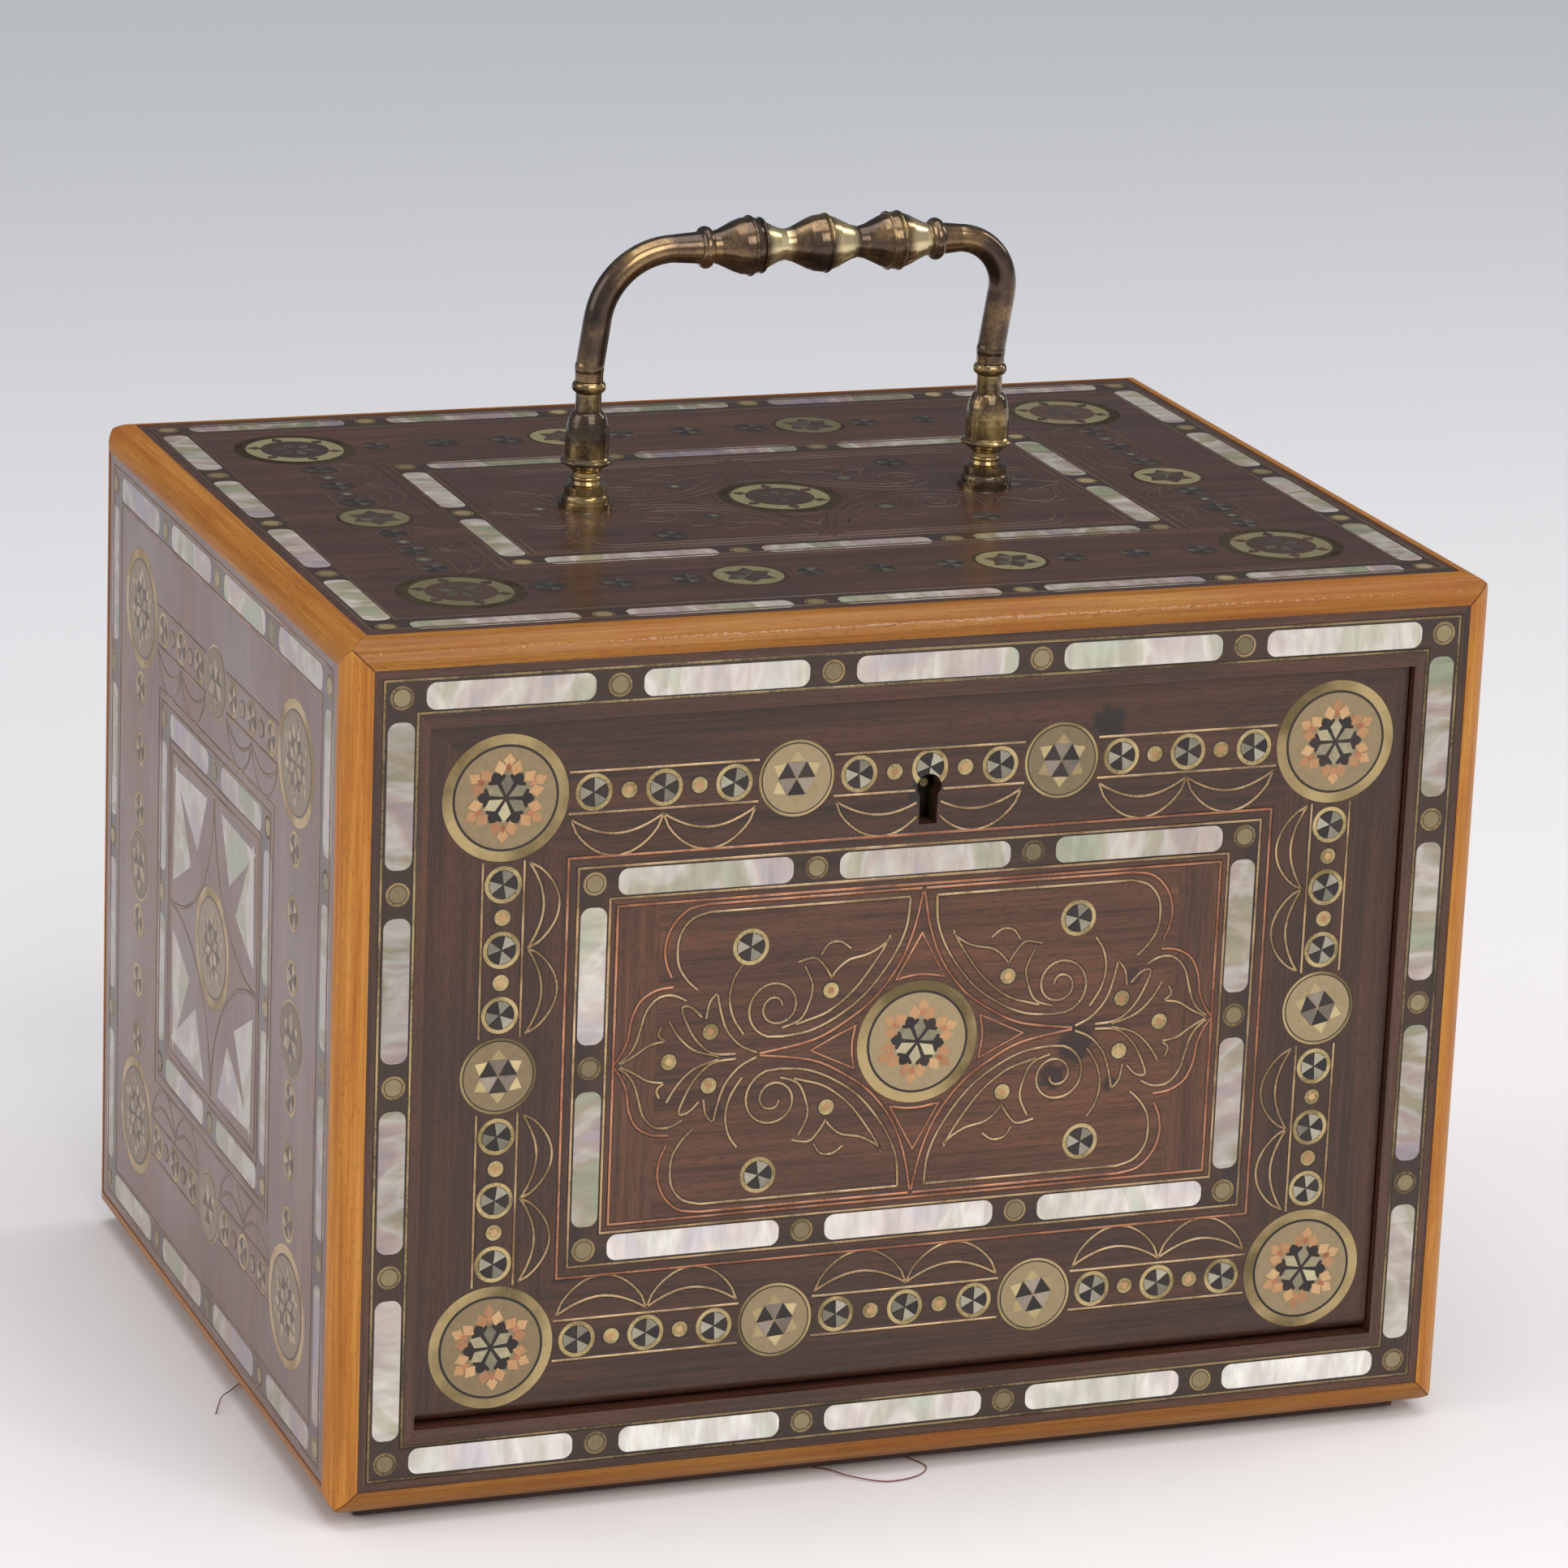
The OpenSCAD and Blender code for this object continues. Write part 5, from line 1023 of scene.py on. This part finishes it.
def dress(face):
    wire, red, filler, roundels = LOOKS[face]
    closed, open_lines, copper_closed, copper_open, pins = [], [], [], [], []
    if face != "frame":
        closed, copper_closed = panel_lines(face)
        open_lines, pins = ribbons(face)
    if face in ("fall", "top"):
        open_lines += mirrored(QUARTER_BRASS)
        copper_open += mirrored(QUARTER_COPPER)
        copper_closed += [SIDE_POINT, [(-x, y) for x, y in SIDE_POINT], TOP_POINT, [(x, -y) for x, y in TOP_POINT]]
        pins = pins + PANEL_PINS
    if face in ("left", "right", "back"):
        w, h = (v - PANEL_IN - COPPER_IN - 1.5 for v in BOARDS[face]["half"])
        copper_open += hollow_diamond(w, h)
    if face == "fall":
        open_lines = outside_keyhole(open_lines)
    if face != "fall":
        strings(face + "_border_string", face, [], border_lines(face), wire, filler)
    if face != "frame":
        strings(face + "_brass_string", face, open_lines, closed, wire, filler)
        strings(face + "_copper_string", face, copper_open, copper_closed, red, filler)
    for radius, label in ((GREAT_R, "great_roundels"), (MEDIUM_R, "medium_roundels"), (DISC_R, "wheels"), (STUD_R, "studs")):
        spots = of_size(face, radius) + (PANEL_WHEELS if label == "wheels" and face in ("fall", "top") else [])
        if spots:
            chance = random.Random(len(face) + len(label))
            turns = [chance.uniform(-12, 12) for s in spots]
            piece = mosaics(face + "_" + label, face, STUD if label == "studs" else roundels[label], spots, turns, len(spots))
            if (face, label) == ("fall", "wheels"):
                cut_keyhole(piece)
    if pins:
        mosaics(face + "_pins", face, roundels["pins"], pins, seed=5)


for face in BOARDS:
    dress(face)

# %% [markdown]
# The handle was cast in brass and turned, then coated in a brown lacquer. Beside each belly a band is painted bright, a
# painted highlight where the lamps catch the grip. A mask on the distance from the middle of each band paints it there,
# so the highlight stays in place when the case is turned.
# %% Old brass of the handle
def old_brass(name, lacquer, warm, bright, highlight_x=()):
    material, tree, shader, place = finish(name, 0.3, metal=0.9, coat=0.6, coat_rough=0.11)
    cloud = add(tree, "ShaderNodeTexNoise", {}, {"Vector": place, "Scale": 1 / 14, "Detail": 4.0, "Roughness": 0.55}).outputs["Fac"]
    fine = add(tree, "ShaderNodeTexNoise", {}, {"Vector": place, "Scale": 1 / 0.8, "Detail": 3.0}).outputs["Fac"]
    mixed = add(tree, "ShaderNodeMix", {"data_type": "FLOAT"}, {0: 0.15, 2: cloud, 3: fine}).outputs[0]
    colour = add(tree, "ShaderNodeValToRGB", {}, {0: mixed}, [(0.36, "#2a1f15"), (0.64, warm), (0.5, lacquer)]).outputs[0]
    x = add(tree, "ShaderNodeSeparateXYZ", inputs={0: place}).outputs[0]
    tone_shift = 0.0
    # Each band is a painted highlight: the bright colour is mixed in near its x.
    for middle in highlight_x:
        off = add(tree, "ShaderNodeMath", {"operation": "SUBTRACT"}, {0: x, 1: middle}).outputs[0]
        away = add(tree, "ShaderNodeMath", {"operation": "ABSOLUTE"}, {0: off}).outputs[0]
        near = add(tree, "ShaderNodeMapRange", {"interpolation_type": "SMOOTHSTEP"}, {0: away, 1: 1.2, 2: 4.2, 3: 0.85, 4: 0.0}).outputs[0]
        tone_shift = add(tree, "ShaderNodeMath", {"operation": "MAXIMUM"}, {0: near, 1: tone_shift}).outputs[0]
    colour = add(tree, "ShaderNodeMix", {"data_type": "RGBA"}, {0: tone_shift, 6: colour, 7: tone(bright)}).outputs[2]
    tree.links.new(colour, shader.inputs["Base Color"])
    gloss = add(tree, "ShaderNodeMapRange", {}, {0: mixed, 1: 0.38, 2: 0.62, 3: 0.3, 4: 0.16}).outputs[0]
    tree.links.new(gloss, shader.inputs["Roughness"])
    bump = add(tree, "ShaderNodeBump", {}, {"Strength": 0.25, "Distance": 0.05 * MM, "Height": mixed})
    tree.links.new(bump.outputs[0], shader.inputs["Normal"])
    return material


# The three x places are where bands of painted highlight lie on the grip.
OLD_BRASS = old_brass("old_lacquered_brass", "#4d3a2a", "#91744c", "#ead7a6", (-3.6, 12.9, 32.4))
POST_BRASS = old_brass("rubbed_brass", "#4f3e28", "#b0965f", "#b59d6c")
DRAWER_BRASS = inlay_metal("drawer_knob_brass", "#b3945a", "#6a5433", 3, rough=0.3)

# %% [markdown]
# On the lathe the turner scored a fine raised ring at the widest place of each belly, and a second one beside
# the outer two. They are too thin for the solid model, so they are laid round it here. The belly's own mesh
# says how far out each ring lies, so a ring sits on the metal even if the grip is turned thicker.
# %% Rings of the grip
RING_X, RING_TUBE = (-10.4, -7.6, 8.9, 24.6, 27.4), 0.42


def grip_rings():
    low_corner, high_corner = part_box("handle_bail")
    axis_z = (high_corner.z - high_corner.y) / MM
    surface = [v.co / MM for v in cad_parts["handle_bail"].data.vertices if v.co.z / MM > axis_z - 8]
    around, section, verts, faces = 48, 8, [], []
    for x in RING_X:
        near = sorted(surface, key=lambda c: abs(c.x - x))[:40]
        radius = max(math.hypot(c.y, c.z - axis_z) for c in near)
        first = len(verts)
        for i in range(around):
            turn = 2 * math.pi * i / around
            for j in range(section):
                lean = 2 * math.pi * j / section
                r = radius + RING_TUBE * math.cos(lean)
                verts.append(((x + RING_TUBE * math.sin(lean)) * MM, r * math.cos(turn) * MM, (axis_z + r * math.sin(turn)) * MM))
        for i in range(around):
            for j in range(section):
                a, b = first + i * section, first + (i + 1) % around * section
                k = (j + 1) % section
                faces.append((a + j, b + j, b + k, a + k))
        print("ring at", x, "radius", round(radius, 2))
    mesh = bpy.data.meshes.new("grip_rings")
    mesh.from_pydata(verts, [], faces)
    shape = bmesh.new()
    shape.from_mesh(mesh)
    bmesh.ops.recalc_face_normals(shape, faces=shape.faces)
    for f in shape.faces:
        f.smooth = True
    shape.to_mesh(mesh)
    shape.free()
    mesh.materials.append(POST_BRASS)
    piece = bpy.data.objects.new("grip_rings", mesh)
    bpy.context.scene.collection.objects.link(piece)
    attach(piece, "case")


grip_rings()

# %% [markdown]
# What is left of the CAD nodes gets its finish by name. Long boards have their grain along their length.
# %% Give every node its finish
def give(node, material):
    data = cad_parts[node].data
    data.materials.clear()
    data.materials.append(material)


for table in (ROSEWOOD, SATINWOOD):
    for node, material in table.items():
        give(node, material)
for node in ("frame_brass_inlay", "fall_brass_inlay"):
    give(node, BRASS)
for node in ("side_brass_inlay", "back_brass_inlay"):
    give(node, BRASS_SIDE)
give("top_brass_inlay", BRASS_TOP)
for node, along in (("top_board", "x"), ("bottom_board", "x"), ("back_board", "x"), ("left_board", "z"), ("right_board", "z"),
                    ("top_liner", "x"), ("floor_board", "x"), ("side_cheeks", "z")):
    give(node, PINE[along])
for node, along in (("top_rail", "x"), ("bottom_rail", "x"), ("left_stile", "z"), ("right_stile", "z"), ("fall_panel", "x"),
                    ("drawer_shelf", "x"), ("drawer_dividers", "z"), ("bottle_dividers", "y")):
    give(node, SOLID_ROSEWOOD[along])
give("plinth", DARK_WOOD)
for k in range(1, 5):
    give("drawer_front_%d" % k, SOLID_ROSEWOOD["x"])
    give("drawer_tray_%d" % k, PINE["y"])
    give("drawer_knob_%d" % k, DRAWER_BRASS)
give("handle_bail", OLD_BRASS)
for node in ("handle_posts", "handle_nuts"):
    give(node, POST_BRASS)
for node in ("lock_case", "lock_bolt", "strike_plate", "fall_pivots", "lock_screws"):
    give(node, LOCK_BRASS)

# %% [markdown]
# Under the plinth the maker glued a piece of red baize, a felted wool, to spare the table. It is a flat sheet
# stretched and glued, with a cut edge that has shed a few threads. The weave of baize is fulled away, so its
# surface is a short nap. The sheet is a grid with a slightly uneven edge, given the thickness of the cloth.
# %% Baize under the base
def baize_finish():
    material, tree, shader, place = finish("red_baize", 0.95)
    shader.inputs["Sheen Weight"].default_value = 0.4
    nap = add(tree, "ShaderNodeTexNoise", {}, {"Vector": place, "Scale": 1 / 0.5, "Detail": 4.0}).outputs["Fac"]
    colour = add(tree, "ShaderNodeValToRGB", {}, {0: nap}, [(0.3, "#4d1712"), (0.7, "#7d2c22")]).outputs[0]
    tree.links.new(colour, shader.inputs["Base Color"])
    bump = add(tree, "ShaderNodeBump", {}, {"Strength": 0.6, "Distance": 0.15 * MM, "Height": nap})
    tree.links.new(bump.outputs[0], shader.inputs["Normal"])
    return material


BAIZE = baize_finish()
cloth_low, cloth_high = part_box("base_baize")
print("baize", [round(v / MM, 2) for v in cloth_low], [round(v / MM, 2) for v in cloth_high])


def baize_sheet():
    across, deep = 48, 36
    chance = random.Random(4)
    shape = bmesh.new()
    levels = []
    for z in (cloth_low.z, cloth_high.z):
        grid = []
        for i in range(across + 1):
            for j in range(deep + 1):
                edge = i in (0, across) or j in (0, deep)
                x = cloth_low.x + (cloth_high.x - cloth_low.x) * i / across
                y = cloth_low.y + (cloth_high.y - cloth_low.y) * j / deep
                grid.append((x, y, z, edge))
        levels.append(grid)
    pull = [chance.uniform(0, 0.4) * MM for g in levels[0]]
    verts = []
    for grid in levels:
        row = []
        for (x, y, z, edge), p in zip(grid, pull):
            k = 1 - p / abs(cloth_high.x) if edge else 1
            row.append(shape.verts.new((x * k, y * k, z)))
        verts.append(row)
    step = deep + 1
    for i in range(across):
        for j in range(deep):
            a, b, c, d = i * step + j, (i + 1) * step + j, (i + 1) * step + j + 1, i * step + j + 1
            shape.faces.new([verts[0][n] for n in (d, c, b, a)])
            shape.faces.new([verts[1][n] for n in (a, b, c, d)])
    rim = ([i * step for i in range(across)] + [across * step + j for j in range(deep)]
           + [i * step + deep for i in range(across, 0, -1)] + [j for j in range(deep, 0, -1)])
    for a, b in zip(rim, rim[1:] + rim[:1]):
        shape.faces.new([verts[0][a], verts[0][b], verts[1][b], verts[1][a]])
    bmesh.ops.recalc_face_normals(shape, faces=shape.faces)
    mesh = bpy.data.meshes.new("baize_sheet")
    shape.to_mesh(mesh)
    shape.free()
    mesh.materials.append(BAIZE)
    piece = bpy.data.objects.new("baize_sheet", mesh)
    bpy.context.scene.collection.objects.link(piece)
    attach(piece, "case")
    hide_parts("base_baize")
    return piece


BAIZE_SHEET = baize_sheet()

# %% [markdown]
# Two threads have worked loose from the cut edge: a stray end at the left, and a small loop at the front. Each
# is a smooth line through a few points on the table top, seen in the photograph, swept as a thin round tube.
# %% Loose threads
THREAD_R = 0.16
THREADS = (
    [(-129.0, -6.0, 0.4), (-134.5, -12.5, 0.5), (-138.3, -17.4, 0.7), (-142.2, -22.6, 1.2), (-145.6, -30.0, 0.3)],
    [(-22.0, -95.5, 0.5), (-16.0, -100.0, 0.5), (-12.2, -106.0, 0.7), (-5.0, -110.2, 0.4), (3.4, -108.6, 0.3), (7.4, -103.4, 0.3),
     (4.0, -96.2, 0.4)],
)


def loose_threads():
    verts, faces, section = [], [], 6
    for points in THREADS:
        line = [Vector(p) for p in through(points, 0.6)]
        first = len(verts)
        for i, spot in enumerate(line):
            ahead_of_it = (line[min(i + 1, len(line) - 1)] - line[max(i - 1, 0)]).normalized()
            sideways = ahead_of_it.cross(Vector((0, 0, 1))).normalized()
            upwards = sideways.cross(ahead_of_it)
            for j in range(section):
                turn = 2 * math.pi * j / section
                verts.append((spot + (sideways * math.cos(turn) + upwards * math.sin(turn)) * THREAD_R) * MM)
        for i in range(len(line) - 1):
            for j in range(section):
                a, k = first + i * section, (j + 1) % section
                faces.append((a + j, a + k, a + section + k, a + section + j))
        faces += [tuple(range(first, first + section)), tuple(range(len(verts) - section, len(verts)))]
    mesh = bpy.data.meshes.new("baize_threads")
    mesh.from_pydata(verts, [], faces)
    shape = bmesh.new()
    shape.from_mesh(mesh)
    bmesh.ops.recalc_face_normals(shape, faces=shape.faces)
    shape.to_mesh(mesh)
    shape.free()
    mesh.materials.append(BAIZE)
    piece = bpy.data.objects.new("baize_threads", mesh)
    bpy.context.scene.collection.objects.link(piece)
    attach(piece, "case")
    print("threads", len(mesh.polygons), "faces")
    return piece


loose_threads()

# %% [markdown]
# The photograph looks slightly down on the box from the left of its front. The camera was found from the
# corners of the inlay: a long lens, so lines stay nearly parallel. The room is a plain pale sweep under big soft lamps.
# The picture is kept as the lamps make it, with no film curve over it, so the hex colours stay what they are.
# %% Camera
bpy.context.scene.view_settings.view_transform = "Standard"
YAW, PITCH, ROLL = math.radians(20.89), math.radians(16.683), math.radians(2.34)
ahead = Vector((math.sin(YAW) * math.cos(PITCH), math.cos(YAW) * math.cos(PITCH), -math.sin(PITCH)))
level = Vector((math.cos(YAW), -math.sin(YAW), 0.0))
above = level.cross(ahead)
side = level * math.cos(ROLL) + above * math.sin(ROLL)
head = above * math.cos(ROLL) - level * math.sin(ROLL)
lens = bpy.data.cameras.new("camera")
lens.lens, lens.sensor_width, lens.clip_start, lens.clip_end = 149.55, 36.0, 0.05, 60.0
camera = bpy.data.objects.new("camera", lens)
bpy.context.scene.collection.objects.link(camera)
camera.matrix_world = Matrix.Translation((-0.53926, -1.42366, 0.59491)) @ Matrix((side, head, -ahead)).transposed().to_4x4()
bpy.context.scene.camera = camera

# %% [markdown]
# The backdrop in the photograph is a pale sheet that grows a little greyer with distance. Here it is a flat floor
# painted greyer from front to back, a painted shade standing in for the light falling off with distance. The daylight
# of a studio is one window lamp at the left and two large soft lamps, so shadows stay faint, and one small lamp makes
# the bright points on the metal.
# %% Floor and light
def floor_finish():
    material, tree, shader, place = finish("pale_paper_sweep", 0.6)
    y = add(tree, "ShaderNodeSeparateXYZ", inputs={0: place}).outputs[1]
    # Painted shade: the floor's colour darkens with distance.
    far = add(tree, "ShaderNodeMapRange", {"interpolation_type": "SMOOTHSTEP"}, {0: y, 1: -250.0, 2: 1700.0}).outputs[0]
    colour = add(tree, "ShaderNodeValToRGB", {}, {0: far}, [(0.0, "#e6e4e7"), (1.0, "#c0c4cb")]).outputs[0]
    tree.links.new(colour, shader.inputs["Base Color"])
    return material


floor_mesh = bpy.data.meshes.new("floor")
floor_mesh.from_pydata([(-12, -12, 0), (12, -12, 0), (12, 12, 0), (-12, 12, 0)], [], [(0, 1, 2, 3)])
floor_mesh.materials.append(floor_finish())
floor = bpy.data.objects.new("floor", floor_mesh)
bpy.context.scene.collection.objects.link(floor)

world = bpy.data.worlds.new("studio")
world.use_nodes = True
room = world.node_tree
toward = add(room, "ShaderNodeSeparateXYZ", inputs={0: add(room, "ShaderNodeTexCoord").outputs["Generated"]}).outputs
behind = add(room, "ShaderNodeMath", {"operation": "MULTIPLY_ADD"}, {0: toward[0], 1: 0.55, 2: toward[1]}).outputs[0]
dim = add(room, "ShaderNodeMapRange", {"interpolation_type": "SMOOTHSTEP"}, {0: behind, 1: -0.4, 2: 0.85, 3: 0.0, 4: 1.0}).outputs[0]
wall = add(room, "ShaderNodeValToRGB", {}, {0: dim}, [(0.0, "#e9e8ea"), (1.0, "#6f7176")]).outputs[0]
room.links.new(wall, room.nodes["Background"].inputs[0])
room.nodes["Background"].inputs[1].default_value = 0.8
bpy.context.scene.world = world


def lamp(name, spot, aim, size, power, colour):
    data = bpy.data.lights.new(name, "AREA")
    data.shape, data.size, data.size_y, data.energy = "RECTANGLE", size[0], size[1], power
    data.color = tone(colour)[:3]
    lit = bpy.data.objects.new(name, data)
    lit.matrix_world = Matrix.Translation(spot) @ (Vector(aim) - Vector(spot)).to_track_quat("-Z", "Y").to_matrix().to_4x4()
    bpy.context.scene.collection.objects.link(lit)


lamp("window_left", (-3.2, 0.2, 1.6), (0, 0, 0.1), (2.2, 2.0), 34, "#fff7ee")
lamp("soft_top", (0.2, 0.0, 3.4), (0, 0, 0.0), (3.0, 3.0), 60, "#ffffff")
lamp("soft_front", (0.3, -3.4, 2.6), (0, 0, 0.1), (2.4, 2.0), 60, "#fffaf2")
lamp("spark", (1.4, -2.3, 3.0), (0, 0, 0.15), (0.45, 0.45), 16, "#fffaf2")
lamp("edge_right", (2.8, 0.5, 1.7), (0, 0, 0.2), (0.7, 1.6), 16, "#fff8ec")
